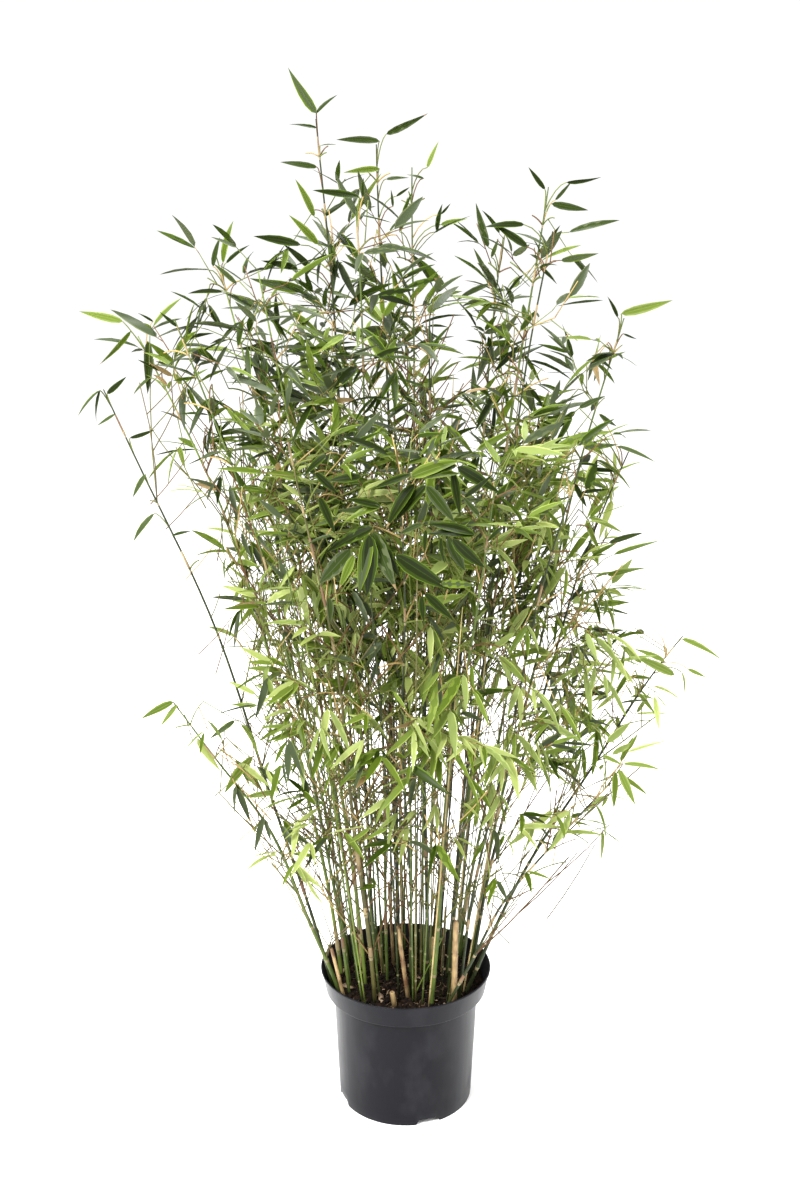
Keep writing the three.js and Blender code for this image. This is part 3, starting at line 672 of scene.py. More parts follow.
culms = [culm_finish(name, colours) for name, colours in CULM_COLOURS.items()]
scar = Finish("sheath_scar", {"Roughness": 0.8})
scar.give("Base Color", scar.tint(scar.noise(scar.place(), 700), *SCAR_BROWNS))
ridge = Finish("node_ridge", {"Roughness": 0.55})
ridge.give("Base Color", ridge.tint(ridge.noise(ridge.place(), 500), *RIDGE_GREENS))


def culm_kind(x, chance):
    """Which green a culm has: paler and greener at the left of the clump, darker in its middle."""
    row = (chance * len(LEFT_CULMS)).astype(int)
    return np.where(x < LEFT_UNTIL, LEFT_CULMS[row], MIDDLE_CULMS[row])


def cane_rows(cane):
    """Shares of a cane's rings, how much each swells and what it shows: six rings at each node,
    and two between nodes."""
    lowest = -int(bare[cane] * leafy_nodes[cane] / (1 - bare[cane]))
    nodes = node_share(cane, np.arange(lowest, leafy_nodes[cane]))
    nodes = nodes[nodes * tall[cane] > LOWEST_NODE]
    pitch = nodes[1] - nodes[0]
    between = np.append(nodes[0] - pitch, nodes)[:, None] + pitch * BETWEEN_NODES
    share = np.concatenate([(nodes[:, None] + NODE_AT / tall[cane]).ravel(), between.ravel()])
    swell = np.concatenate([np.tile(NODE_SWELL, len(nodes)), np.ones(between.size)])
    mark = np.concatenate([np.tile(NODE_MARK, len(nodes)), np.zeros(between.size, int)])
    order = np.argsort(share)
    order = order[(share[order] * tall[cane] > -CANE_SUNK) & (share[order] < 1)]
    share = np.concatenate([[-CANE_SUNK / tall[cane]], share[order], [1.0]])
    swell = np.concatenate([[1.0], swell[order], [CANE_END_SWELL]])
    return share, swell, np.concatenate([mark[order], [0, 0]])


def wrap_lines(piece, columns, length):
    """A UV map that follows tubes: once round each across, and metres along it up."""
    mesh = piece.data
    corner = np.zeros(len(mesh.loops), np.int32)
    mesh.loops.foreach_get("vertex_index", corner)
    rows = length.shape[1]
    tube, within = np.divmod(corner, rows * columns + 2)
    ring = np.clip((within - 1) // columns, 0, rows - 1)
    turn = (within - 1) % columns / columns
    uv = mesh.uv_layers.new(name="wrap")
    uv.data.foreach_set("uv", np.stack([turn, length[tube, ring]], -1).astype(np.float32).ravel())


def make_cane(cane, name):
    """A tube round the cane's curve, ringed at its nodes."""
    share, swell, mark = cane_rows(cane)
    radius = cane_radius(cane, share) * swell
    points, faces = tubes(on_cane(cane, share)[None], radius[None], CANE_SIDES)
    kind = int(culm_kind(foot[cane, 0], pick(cane, 5, 13)))
    shown = np.repeat(np.concatenate([[0], mark]), CANE_SIDES)
    culm = make_piece("culm_" + name, points, faces, [culms[kind], scar, ridge], shown)
    wrap_lines(culm, CANE_SIDES, share[None] * tall[cane])
    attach(culm, "root")
    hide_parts("cane_" + name)


for cane, name in enumerate(CANES):
    make_cane(cane, name)


# Thin canes
# Younger and weaker culms stand between the main ones and lean with them. Many have lost their
# leaves, and some end low down in a dry tip.
THIN_COUNT = 60
THIN_NODES = 9
THIN_SIDES = 6
THIN_RADII = (0.0011, 0.0019)
THIN_REACH = (0.30, 0.92)
THIN_DRY_CHANCE = 0.25
THIN_WITHIN = 0.30
THIN_STRIDE = 5
THIN_BESIDE = (0.014, 0.024)
THIN_FOOT_WITHIN = 0.112
THIN_SUNK = 0.008
THIN_INWARD = (0.94, 0.94, 1)
THIN_SPREAD = (0.01, 0.06)
THIN_BOW = (0.4, 0.4, 0)
THIN_TAPER = 0.6
THIN_END_SWELL = 0.5
THIN_FIRST_NODE = 0.6
THIN_NODE_ROWS = np.array([-0.018, -0.0024, 0.0024, 0.0072])
THIN_SWELL = np.array([1.0, 1.18, 1.22, 1.0])


def quadratic(start, middle, end, share):
    """Points a share of the way along quadratic curves: (curve, share, xyz)."""
    part = share[..., None]
    start, middle, end = start[:, None], middle[:, None], end[:, None]
    return (1 - part) ** 2 * start + 2 * part * (1 - part) * middle + part ** 2 * end


def level(turn, rise=0.0):
    """Directions at turns round the Z axis: (cosine, sine, rise)."""
    return np.stack([np.cos(turn), np.sin(turn), rise + 0 * turn], -1)


def make_thin_canes():
    """Tubes from places beside the main feet to points beside the main canes, with a swelling
    of four rings at each node."""
    number = np.arange(THIN_COUNT)
    inner = np.flatnonzero(np.abs(tip[:, 0]) < THIN_WITHIN)
    beside = inner[number * THIN_STRIDE % len(inner)]
    aside = level(2 * np.pi * pick(number, 1, 61))
    start = foot[beside] + aside * blend(*THIN_BESIDE, pick(number, 2, 61))[:, None]
    start[:, :2] *= np.minimum(1, THIN_FOOT_WITHIN / np.hypot(start[:, 0], start[:, 1]))[:, None]
    start[:, 2] = MIX_TOP - THIN_SUNK
    reach = blend(*THIN_REACH, pick(number, 3, 61))
    end = on_cane(beside, reach) * THIN_INWARD + aside * blend(*THIN_SPREAD, reach)[:, None]
    middle = blend(start, end, 0.5) + (foot[beside] - start) * THIN_BOW
    nodes = (np.arange(THIN_NODES)[:, None] + THIN_FIRST_NODE) / THIN_NODES + THIN_NODE_ROWS
    share = np.concatenate([[0], nodes.ravel(), [1]])[None].repeat(THIN_COUNT, 0)
    swell = np.concatenate([[1], np.tile(THIN_SWELL, THIN_NODES), [THIN_END_SWELL]])
    radius = blend(*THIN_RADII, pick(number, 4, 61))[:, None] * blend(1.0, THIN_TAPER, share) * swell
    points, faces = tubes(quadratic(start, middle, end, share), radius, THIN_SIDES)
    kind = culm_kind(start[:, 0], pick(number, 5, 61))
    kind = np.where(pick(number, 6, 61) < THIN_DRY_CHANCE, len(culms) - 1, kind)
    ring = np.zeros(share.shape[1] + 1, bool)
    ring[3:-2:4] = True
    shown = np.where(ring, len(culms), kind[:, None]).repeat(THIN_SIDES)
    thin = make_piece("thin_canes", points, faces, [*culms, ridge], shown)
    wrap_lines(thin, THIN_SIDES, share * np.linalg.norm(end - start, axis=-1)[:, None])
    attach(thin, "root")


make_thin_canes()


# Dry stubs and sheaths
# Dead culms that were cut or broken off a span above the mix, still wrapped in straw-coloured
# sheaths, and the papery sheaths that cling above the nodes of the living ones.
STUB_SUNK = 0.006
STUB_SIDES = 12
STUB_AT = np.array([0.0, 0.5, 0.93, 0.97, 1.0, 1.03, 1.07])
STUB_SWELL = np.array([1.05, 1.0, 1.0, 1.10, 0.84, 1.12, 0.97])
STUB_TOP_AT = np.array([0.97, 1.0])
STUB_TOP_SWELL = np.array([0.94, 0.72])
# Each stub: foot and top, half its thickness, and the share of its height where a joint shows
STUBS = [
    ((-0.099, -0.061), (-0.119, -0.070, 0.302), 0.0029, 0.45),
    ((-0.054, 0.004), (-0.062, -0.002, 0.300), 0.0031, 0.62),
    ((-0.036, 0.006), (-0.044, 0.000, 0.283), 0.0030, 0.40),
    ((0.005, -0.068), (-0.013, -0.080, 0.346), 0.0035, 0.56),
    ((0.077, -0.080), (0.079, -0.092, 0.362), 0.0047, 0.62),
    ((0.044, 0.030), (0.046, 0.024, 0.270), 0.0032, 0.50),
    ((0.060, 0.012), (0.066, 0.016, 0.330), 0.0024, 0.50),
    ((-0.020, 0.040), (-0.028, 0.046, 0.360), 0.0026, 0.50),
]
CUT_STUB = ((-0.017, -0.084, 0.200), (-0.022, -0.085, 0.232))
CUT_RADIUS = 0.0042
CUT_BORE = 0.0026
CUT_CHAMFERS = (0.0004, 0.0002)
CUT_RIM_AT = 0.96
CUT_BORE_AT = 0.55
SHEATH_CHANCE = 0.5
SHEATH_SIDES = 7
SHEATH_ABOVE = 0.03
SHEATH_UNTIL = 0.97
SHEATH_CLEAR = 0.0001
SHEATH_LONG = (0.014, 0.042)
SHEATH_PROUD = np.array([1.04, 1.18, 1.15, 1.07, 1.01])
SHEATH_AT = np.array([0.0, 0.12, 0.5, 0.85, 1.0])
SHOOT = ((0.014, -0.050, 0.204), (0.034, -0.066, 0.262), (0.068, -0.082, 0.349))
SHOOT_RADIUS = 0.0012
SHOOT_TAPER = 0.6
SHOOT_ROWS = 12
SHOOT_SIDES = 6
STRAW_COLOURS = ((0.21, 0.135, 0.052, 1), (0.40, 0.29, 0.14, 1))
STRAW_STAIN = (0.115, 0.058, 0.026, 1)
SHEATH_COLOURS = ((0.17, 0.125, 0.055, 1), (0.36, 0.29, 0.15, 1))
SHEATH_BLUSH = (0.120, 0.068, 0.036, 1)
PITH_COLOURS = ((0.10, 0.055, 0.02, 1), (0.26, 0.16, 0.07, 1))

straw = Finish("dry_straw", {"Specular IOR Level": 0.35})
straw_lines = straw.noise(straw.place((1, 1, 0.06)), 900, 3.0)
straw_stain = straw.between(straw.noise(straw.place((1, 1, 0.5)), 70, 4.0), 0.43, 0.62)
straw.give("Base Color", straw.tint(straw_stain, straw.tint(straw_lines, *STRAW_COLOURS), STRAW_STAIN))
straw.give("Roughness", 0.42 + 0.25 * straw_lines)
straw.relief(straw_lines, 0.0003)
sheath = Finish("papery_sheath", {"Roughness": 0.7, "Specular IOR Level": 0.3})
sheath_lines = sheath.noise(sheath.place((1, 1, 0.1)), 500, 3.0)
sheath_blush = sheath.between(sheath.noise(sheath.place(), 12), 0.42, 0.60)
sheath_pale = sheath.tint(sheath_lines, *SHEATH_COLOURS)
sheath.give("Base Color", sheath.tint(sheath_blush, sheath_pale, SHEATH_BLUSH))
sheath.relief(sheath_lines, 0.0002)
pith = Finish("stub_inside", {"Roughness": 0.9})
pith.give("Base Color", pith.tint(pith.noise(pith.place(), 900), *PITH_COLOURS))


def make_stubs():
    """Tubes from foot to top with a pinched joint between two swollen edges. Above it the stub
    is a little thinner, because a sheath less wraps it."""
    stub_foot, stub_top, stub_radius, joint = (np.array(column) for column in zip(*STUBS))
    start = np.column_stack([stub_foot, np.full(len(STUBS), MIX_TOP - STUB_SUNK)])
    share = np.column_stack([joint[:, None] * STUB_AT, STUB_TOP_AT + 0 * joint[:, None]])
    swell = np.append(STUB_SWELL, STUB_TOP_SWELL)
    path = blend(start[:, None], stub_top[:, None], share[..., None])
    points, faces = tubes(path, stub_radius[:, None] * swell, STUB_SIDES, 0.0)
    stubs = make_piece("dry_stubs", points, faces, [straw])
    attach(stubs, "root")


def make_cut_stub():
    """A short tube whose top turns inwards over a thin wall and down into its bore."""
    low, high = np.array(CUT_STUB)
    share = np.array([0, CUT_RIM_AT, 1.0, 1.0, CUT_RIM_AT, CUT_BORE_AT])
    rim = [CUT_RADIUS - CUT_CHAMFERS[0], CUT_BORE + CUT_CHAMFERS[1]]
    radius = np.array([CUT_RADIUS, CUT_RADIUS, *rim, CUT_BORE, CUT_BORE])
    ring = level(np.arange(STUB_SIDES) / STUB_SIDES * 2 * np.pi)
    grid = blend(low, high, share[:, None])[:, None] + ring * radius[:, None, None]
    ends = [np.repeat(blend(low, high, end)[None, None], STUB_SIDES, 1) for end in (0, CUT_BORE_AT)]
    points, faces = closed_skin(np.concatenate([ends[0], grid, ends[1]])[None])
    inside = np.repeat([0, 0, 0, 0, 1, 1, 1], STUB_SIDES)
    stub = make_piece("cut_stub", points, faces, [straw, pith], inside)
    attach(stub, "root")
    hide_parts("cut_cane")


def make_sheaths():
    """Sleeves round the canes from a node upwards. Each stands proud near its foot and closes
    on the culm at its top."""
    lowest = np.floor(bare * leafy_nodes / (1 - bare)).astype(int)
    cane = np.repeat(every_cane, lowest + leafy_nodes)
    node = np.concatenate([np.arange(-low, high) for low, high in zip(lowest, leafy_nodes)])
    share = node_share(cane, node)
    placed = (share * tall[cane] > SHEATH_ABOVE) & (share < SHEATH_UNTIL)
    kept = placed & (pick(cane, node, 45) < SHEATH_CHANCE)
    cane, node, share = cane[kept], node[kept], share[kept]
    length = blend(*SHEATH_LONG, pick(cane, node, 46)) / tall[cane]
    along = np.minimum(share[:, None] + length[:, None] * SHEATH_AT, 1)
    radius = cane_radius(cane[:, None], along) * SHEATH_PROUD + SHEATH_CLEAR
    points, faces = tubes(on_cane(cane[:, None], along), radius, SHEATH_SIDES, 0.0)
    sheaths = make_piece("node_sheaths", points, faces, [sheath])
    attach(sheaths, "root")


def make_shoot():
    """A thin yellow-green shoot that leans low across the front, on a quadratic curve."""
    start, middle, end = (np.array([point]) for point in SHOOT)
    share = np.linspace(0, 1, SHOOT_ROWS)[None]
    radius = SHOOT_RADIUS * blend(1, SHOOT_TAPER, share)
    points, faces = tubes(quadratic(start, middle, end, share), radius, SHOOT_SIDES)
    shoot = make_piece("front_shoot", points, faces, [culms[1]])
    wrap_lines(shoot, SHOOT_SIDES, share * np.linalg.norm(end - start))
    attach(shoot, "root")


make_stubs()
make_cut_stub()
make_sheaths()
make_shoot()


# Twigs
# Wiry side shoots: a fan of two or three from each node of the foliage, by the same rule that
# places the solid ones, and thinner dead ones on the bare nodes below, tan to reddish brown.
TWIG_SHORT = 0.040
TWIG_LONG = 0.150
TWIG_REACH = (0.7, 1.1)
TWIG_RISE = (0.5, 1.3)
TWIG_LIFT = (-0.1, 0.25)
TWIG_RISING_SHARE = 0.55
TWIG_LEVEL_SHARE = 0.4
TWIG_TRIES = 14
TWIG_TRY_SHRINK = 0.05
TWIG_CLEAR = 0.05
TWIG_TAPER = 0.8
TWIG_RADII = (0.0010, 0.0014)
FAN_TWIGS = 3
FAN_NUMBERS = 50
FAN_TURN_DEG = 128
FAN_LENGTH = np.array([1.0, 0.85, 0.68])
FAN_CHANCE = np.array([1.0, 1.0, 0.9])
SPARSE_WIDTH = 0.3
SPACE_SHARED = 0.030
NEAR_STEM = 0.070
BELOW_CROWN = 9.0
UP = np.array([0.0, 0.0, 1.0])
# The crown's outline: at each height, how far it reaches to the left and to the right
CROWN = np.array([
    (0.250, 0.150, 0.140),
    (0.400, 0.200, 0.230),
    (0.490, 0.270, 0.365),
    (0.570, 0.320, 0.405),
    (0.650, 0.285, 0.385),
    (0.745, 0.285, 0.455),
    (0.800, 0.295, 0.425),
    (0.870, 0.290, 0.355),
    (0.960, 0.295, 0.325),
    (1.030, 0.305, 0.320),
    (1.100, 0.365, 0.340),
    (1.180, 0.415, 0.310),
    (1.250, 0.455, 0.325),
    (1.300, 0.465, 0.340),
    (1.340, 0.375, 0.290),
    (1.400, 0.300, 0.285),
    (1.440, 0.200, 0.280),
    (1.510, 0.165, 0.265),
    (1.645, 0.170, 0.060),
])
CROWN_DEPTH_SHARE = 0.92
paths = on_cane(every_cane[:, None], np.linspace(0, 1, 29))


def crown_share(points):
    """How far out points lie in the crown, which is an ellipse at each height: 0 at its middle
    and 1 at its outline."""
    height, left, right = CROWN.T
    left, right = np.interp(points[..., 2], height, left), np.interp(points[..., 2], height, right)
    deep = CROWN_DEPTH_SHARE * (left + right) / 2
    across = points[..., 0] / np.where(points[..., 0] < 0, left, right)
    return np.hypot(across, points[..., 1] / deep) + BELOW_CROWN * (points[..., 2] < height[0])


def distances(points):
    """Distance from points to each cane: to the nearest point of its straight steps."""
    start, step = paths[:, :-1], np.diff(paths, axis=1)
    squared = (step ** 2).sum(-1)
    away = np.empty(points.shape[:-1] + (len(paths),))
    for cane in every_cane:
        off = points[..., None, :] - start[cane]
        share = np.clip((off * step[cane]).sum(-1) / squared[cane], 0, 1)
        away[..., cane] = np.linalg.norm(off - share[..., None] * step[cane], axis=-1).min(-1)
    return away


def fits(cane, points):
    """Whether points may hold a cane's foliage: in the crown or close to their stem, and nearer
    to it than to other canes, or past that border by little."""
    away = distances(points)
    own = np.take_along_axis(away, cane.reshape(cane.shape + (1,) * (away.ndim - 1)), -1)[..., 0]
    near = (crown_share(points) < 1) | (own < NEAR_STEM)
    return (near & (own < away.min(-1) + SPACE_SHARED)).all(-1)


def leafy_twigs():
    """Every twig as (cane, number, start, middle, end). The first of each fan is the solid
    one's own: it leaves the stem at the golden turn and levels out, and where it would leave
    its space it turns and shrinks until it fits. The others fan out beside it, shorter, and
    are missing where the foliage is sparse."""
    cane = np.repeat(every_cane, leafy_nodes)
    node = np.concatenate([np.arange(count) for count in leafy_nodes])
    rank = np.tile(np.arange(FAN_TWIGS), len(cane))
    cane, node = np.repeat(cane, FAN_TWIGS), np.repeat(node, FAN_TWIGS)
    kept = (pick(cane, node, 60 + rank) < FAN_CHANCE[rank]) & ((wide[cane] > SPARSE_WIDTH) | (rank == 0))
    cane, node, rank = cane[kept], node[kept], rank[kept]
    number = node + FAN_NUMBERS * rank
    share = node_share(cane, node)
    start = on_cane(cane, share)[:, None]
    stem = cane_heading(cane, share)[:, None]
    attempt = np.arange(TWIG_TRIES)
    turn = GOLDEN_DEG * (node[:, None] + 3 * attempt) + FAN_TURN_DEG * rank[:, None]
    turn = np.radians(turn + 360 * pick(cane, 0, 7)[:, None])
    outward = level(turn)
    outward = unit(outward - (outward * stem).sum(-1, keepdims=True) * stem)
    height = (share - bare[cane]) / (1 - bare[cane])
    reach = blend(TWIG_LONG, TWIG_SHORT, height) * wide[cane] * blend(*TWIG_REACH, pick(cane, number, 2))
    length = (reach * FAN_LENGTH[rank])[:, None, None] * (1 - TWIG_TRY_SHRINK * attempt)[:, None]
    rise = blend(*TWIG_RISE, pick(cane, number, 1))[:, None, None]
    middle = start + unit(outward + stem * rise) * length * TWIG_RISING_SHARE
    lift = blend(*TWIG_LIFT, pick(cane, number, 3))[:, None, None]
    end = middle + outward * length * TWIG_LEVEL_SHARE + UP * length * lift
    beyond = end + unit(end - middle) * TWIG_CLEAR
    fitting = fits(cane, np.stack([blend(start, end, 0.5), end, beyond], 2))
    row = np.nonzero(fitting.any(1))[0]
    first = fitting.argmax(1)[row]
    return cane[row], number[row], start[row, 0], middle[row, first], end[row, first]


twig_cane, twig_number, twig_start, twig_middle, twig_end = leafy_twigs()
TWIG_COLOURS = {
    "green": (0.105, 0.130, 0.026, 1),
    "tan": (0.290, 0.205, 0.078, 1),
    "reddish": (0.100, 0.052, 0.020, 1),
    "grey": (0.095, 0.078, 0.038, 1),
    "olive": (0.095, 0.095, 0.022, 1),
}
LEAFY_COLOURS = np.array([0, 0, 1, 4, 2])
DEAD_COLOURS = np.array([1, 2, 3, 4, 4])
twig_bark = [
    Finish("twig_" + name, {"Base Color": colour, "Roughness": 0.6, "Specular IOR Level": 0.15})
    for name, colour in TWIG_COLOURS.items()
]


def make_twigs(name, start, middle, end, thick, colours, chance, rows=6, sides=4):
    """Tapering tubes along quadratic curves. Each twig's chance deals it one of the colours."""
    share = np.linspace(0, 1, rows)[None].repeat(len(start), 0)
    radius = np.reshape(thick, (-1, 1)) * blend(1.0, TWIG_TAPER, share)
    points, faces = tubes(quadratic(start, middle, end, share), radius, sides)
    colour = colours[(chance * len(colours)).astype(int)]
    twigs = make_piece(name, points, faces, twig_bark, np.repeat(colour, (rows + 1) * sides))
    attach(twigs, "root")


make_twigs(
    "leafy_twigs",
    twig_start,
    twig_middle,
    twig_end,
    blend(*TWIG_RADII, pick(twig_cane, twig_number, 21)),
    LEAFY_COLOURS,
    pick(twig_cane, twig_number, 22),
)

DEAD_PER_NODE = 3
DEAD_NODES_ABOVE = 4
DEAD_FROM = 0.07
DEAD_LOW = 0.3
DEAD_NUMBER = 200
DEAD_LONG = (0.09, 0.26)
DEAD_RADII = (0.0011, 0.0015)
# The chance of a dead twig at the middle of the clump and at its right side
DEAD_CHANCE = ((0.0, 0.07), (0.8, 0.42))
DEAD_LEAN = 0.5
DEAD_SPREAD = (0.2, 1.3)
DEAD_SIDE_SHARE = 0.3
DEAD_SIDE_RISE = 0.9
DEAD_SIDE_BEND = (1, 1, 1.6)
DEAD_SIDES_AT = np.array([0.45, 0.75])


def dead_twigs():
    """Thin bare twigs as (cane, number, start, middle, end, main): several rise steeply from
    each bare node, each with two side twigs, and main says which are not side twigs."""
    counts = np.floor(bare * leafy_nodes / (1 - bare)).astype(int) + DEAD_NODES_ABOVE
    cane = np.repeat(every_cane, counts * DEAD_PER_NODE)
    node = np.concatenate([
        DEAD_NODES_ABOVE - 1 - np.arange(count * DEAD_PER_NODE) // DEAD_PER_NODE for count in counts
    ])
    number = DEAD_NUMBER + np.arange(len(cane))
    kept = pick(cane, number, 30) < np.interp(foot[cane, 0], *DEAD_CHANCE)
    kept &= node_share(cane, node) > DEAD_FROM
    cane, node, number = cane[kept], node[kept], number[kept]
    share = node_share(cane, node)
    start, stem = on_cane(cane, share), cane_heading(cane, share)
    outward = level(2 * np.pi * pick(cane, number, 31))
    length = blend(*DEAD_LONG, pick(cane, number, 32))[:, None]
    middle = start + unit(stem + outward * DEAD_LEAN) * length * 0.5
    spread = blend(*DEAD_SPREAD, pick(cane, number, 33))[:, None]
    end = middle + unit(stem + outward * spread) * length * 0.5
    side = np.repeat(np.arange(len(cane)), 2)
    second = np.arange(len(side)) % 2
    side_start = quadratic(start[side], middle[side], end[side], DEAD_SIDES_AT[second][:, None])[:, 0]
    side_out = level(2 * np.pi * pick(cane[side], number[side], 34 + second), DEAD_SIDE_RISE)
    side_middle = side_start + unit(side_out) * length[side] * DEAD_SIDE_SHARE
    side_end = side_middle + unit(side_out * DEAD_SIDE_BEND) * length[side] * DEAD_SIDE_SHARE
    main = np.arange(len(cane) * 3) < len(cane)
    cane, number = np.append(cane, cane[side]), np.append(number, number[side])
    start, middle = np.concatenate([start, side_start]), np.concatenate([middle, side_middle])
    end = np.concatenate([end, side_end])
    inside = (crown_share(end) < 1) | (end[:, 2] < DEAD_LOW)
    return cane[inside], number[inside], start[inside], middle[inside], end[inside], main[inside]


dead_cane, dead_number, dead_start, dead_middle, dead_end, dead_main = dead_twigs()
make_twigs(
    "dead_twigs",
    dead_start,
    dead_middle,
    dead_end,
    blend(*DEAD_RADII, np.where(dead_main, pick(dead_cane, dead_number, 35), 0)),
    DEAD_COLOURS,
    pick(dead_cane, dead_number, 36),
    rows=4,
    sides=3,
)


# Large leaves
# Long pointed blades that hang in front of the clump and stand out at the tips of the canes,
# each on a stalk of its own. They are glossy green above and duller below. Their edge is paler,
# partly their own pale margin and partly a painted highlight, and the middle of a large leaf's
# face is darker with painted shade along its fold.
LEAF_CURL = (0.05, 0.60)
LEAF_FOLD = (0.05, 0.45)
LEAF_ROLL = 0.45
LEAF_LEAN = 0.5
LEAF_WIDTHS = (0.8, 1.15)
LEAF_WIDEST = 0.34
LEAF_FULLNESS = 1.6
LEAF_THICKNESS = 0.0004
LEAF_ROUGHNESS = (0.38, 0.5, 0.6)
LEAF_GLOW = (2.2, 2.1, 1.6)
LEAF_GLOW_SHARE = 0.36
UNDERSIDE_SHARE = 0.45
BROWN_TIP_CHANCE = 0.06
# Each green: of the face and of the edge. The edge is paler: partly the leaf's own margin,
# partly a painted highlight
GREENS = {
    "shade": ((0.011, 0.018, 0.002, 1), (0.070, 0.120, 0.009, 1)),
    "deep": ((0.026, 0.044, 0.004, 1), (0.100, 0.165, 0.014, 1)),
    "blue": ((0.052, 0.068, 0.032, 1), (0.125, 0.150, 0.062, 1)),
    "grass": ((0.070, 0.105, 0.010, 1), (0.190, 0.265, 0.032, 1)),
    "mid": ((0.120, 0.165, 0.027, 1), (0.255, 0.325, 0.066, 1)),
    "light": ((0.185, 0.230, 0.070, 1), (0.330, 0.390, 0.138, 1)),
    "yellow": ((0.265, 0.310, 0.105, 1), (0.400, 0.445, 0.175, 1)),
    "straw": ((0.230, 0.170, 0.080, 1), (0.330, 0.255, 0.125, 1)),
}
SHEEN_GREY_GREEN = 2
MID_GREEN = 4
YELLOW_GREEN = 6
STRAW_GREEN = 7
# The green one step darker, painted in the middle of a large leaf's face as shade along its fold
FOLD_SHADE_GREEN = np.array([0, 0, 1, 2, 3, 4, 5, 7])
# A blade: its rows from foot to tip, its columns as shares of the half width, the last of them
# under it, and what lies between them: 0 is its face, 1 its edge, paler with a painted highlight
# over its own margin, 2 its underside and 3 the middle of its face, darker with painted shade
# along the fold
BROAD = (
    np.array([0.0, 0.07, 0.24, 0.46, 0.68, 0.88, 1.0]),
    np.array([1.0, 0.92, 0.58, 0.045, -0.045, -0.58, -0.92, -1.0, 0.0]),
    np.array([1, 0, 3, 0, 3, 0, 1, 2, 2]),
)
FRONT_FACING = np.array([0.0, 1.6, 0.0])
CLUSTER_SEED = 7
CLUSTER_WIDTH_SHARE = 0.25
CLUSTER_PLACE = -0.30
CLUSTER_DEPTH = 0.022
CLUSTER_FORWARD = 0.3
CLUSTER_GREENS = np.array([1, 1, 2, 3, 4])
CLUSTER_STALK_FROM = (0.7, 0.45, 1)
CLUSTER_STALK_DROP = (0, 0, 0.05)
CLUSTER_STALK_BY = (0.9, 0.85, 1)
CLUSTER_STALK_RADIUS = 0.0008
TIP_SEED = 8
TIP_WIDTH_SHARE = 0.19
TIP_STEM = np.linspace(0.3, 1.0, 300)
TIP_STALK_STEPS = 12
TIP_STALK_BEND = 0.4
TIP_STALK_RADIUS = 0.0012
TIP_FORWARD = 0.3
TIP_DEPTH = 0.01
MM = 1000
# Each leaf of the front: foot x and z and length, in millimetres, the direction that it points
# in, in degrees up from the right, and its place in CLUSTER_GREENS
FRONT_LEAVES = [
    (5, 1125, 70, 25, 4), (10, 1125, 60, 10, 4), (25, 1115, 65, -50, 2), (10, 1115, 70, -130, 0),
    (25, 1115, 70, -135, 0), (5, 1130, 50, -165, 1), (-35, 1085, 45, 160, 1), (-35, 1085, 60, -170, 2),
    (-35, 1085, 55, -165, 4), (-45, 1055, 75, -155, 0), (-50, 1050, 95, -90, 0),
    (-45, 1050, 75, -60, 0), (-50, 1050, 85, -100, 3), (-45, 1050, 85, -70, 2),
    (-70, 1020, 50, -115, 4), (-75, 1025, 75, -130, 2), (90, 1045, 65, 160, 0), (90, 1045, 65, 170, 1),
    (60, 1045, 65, -50, 0), (55, 1045, 60, -70, 2), (45, 1045, 35, -90, 1), (20, 1060, 35, -160, 2),
    (-15, 1020, 90, -35, 1), (45, 980, 50, 0, 3), (65, 1140, 70, -30, 0), (60, 1130, 60, -80, 0),
    (75, 1100, 50, 40, 1), (-120, 1130, 45, -45, 0), (-60, 1125, 45, -175, 1), (-115, 1100, 55, -65, 1),
    (-100, 1045, 35, -170, 2), (-105, 1155, 45, -145, 1), (20, 960, 35, -90, 1), (25, 965, 55, -45, 0),
    (-105, 960, 35, -80, 2), (65, 1140, 60, -175, 1), (125, 1060, 30, -140, 0), (95, 1075, 35, 130, 2),
    (25, 1055, 35, -95, 0), (-90, 1070, 35, -165, 3),
]
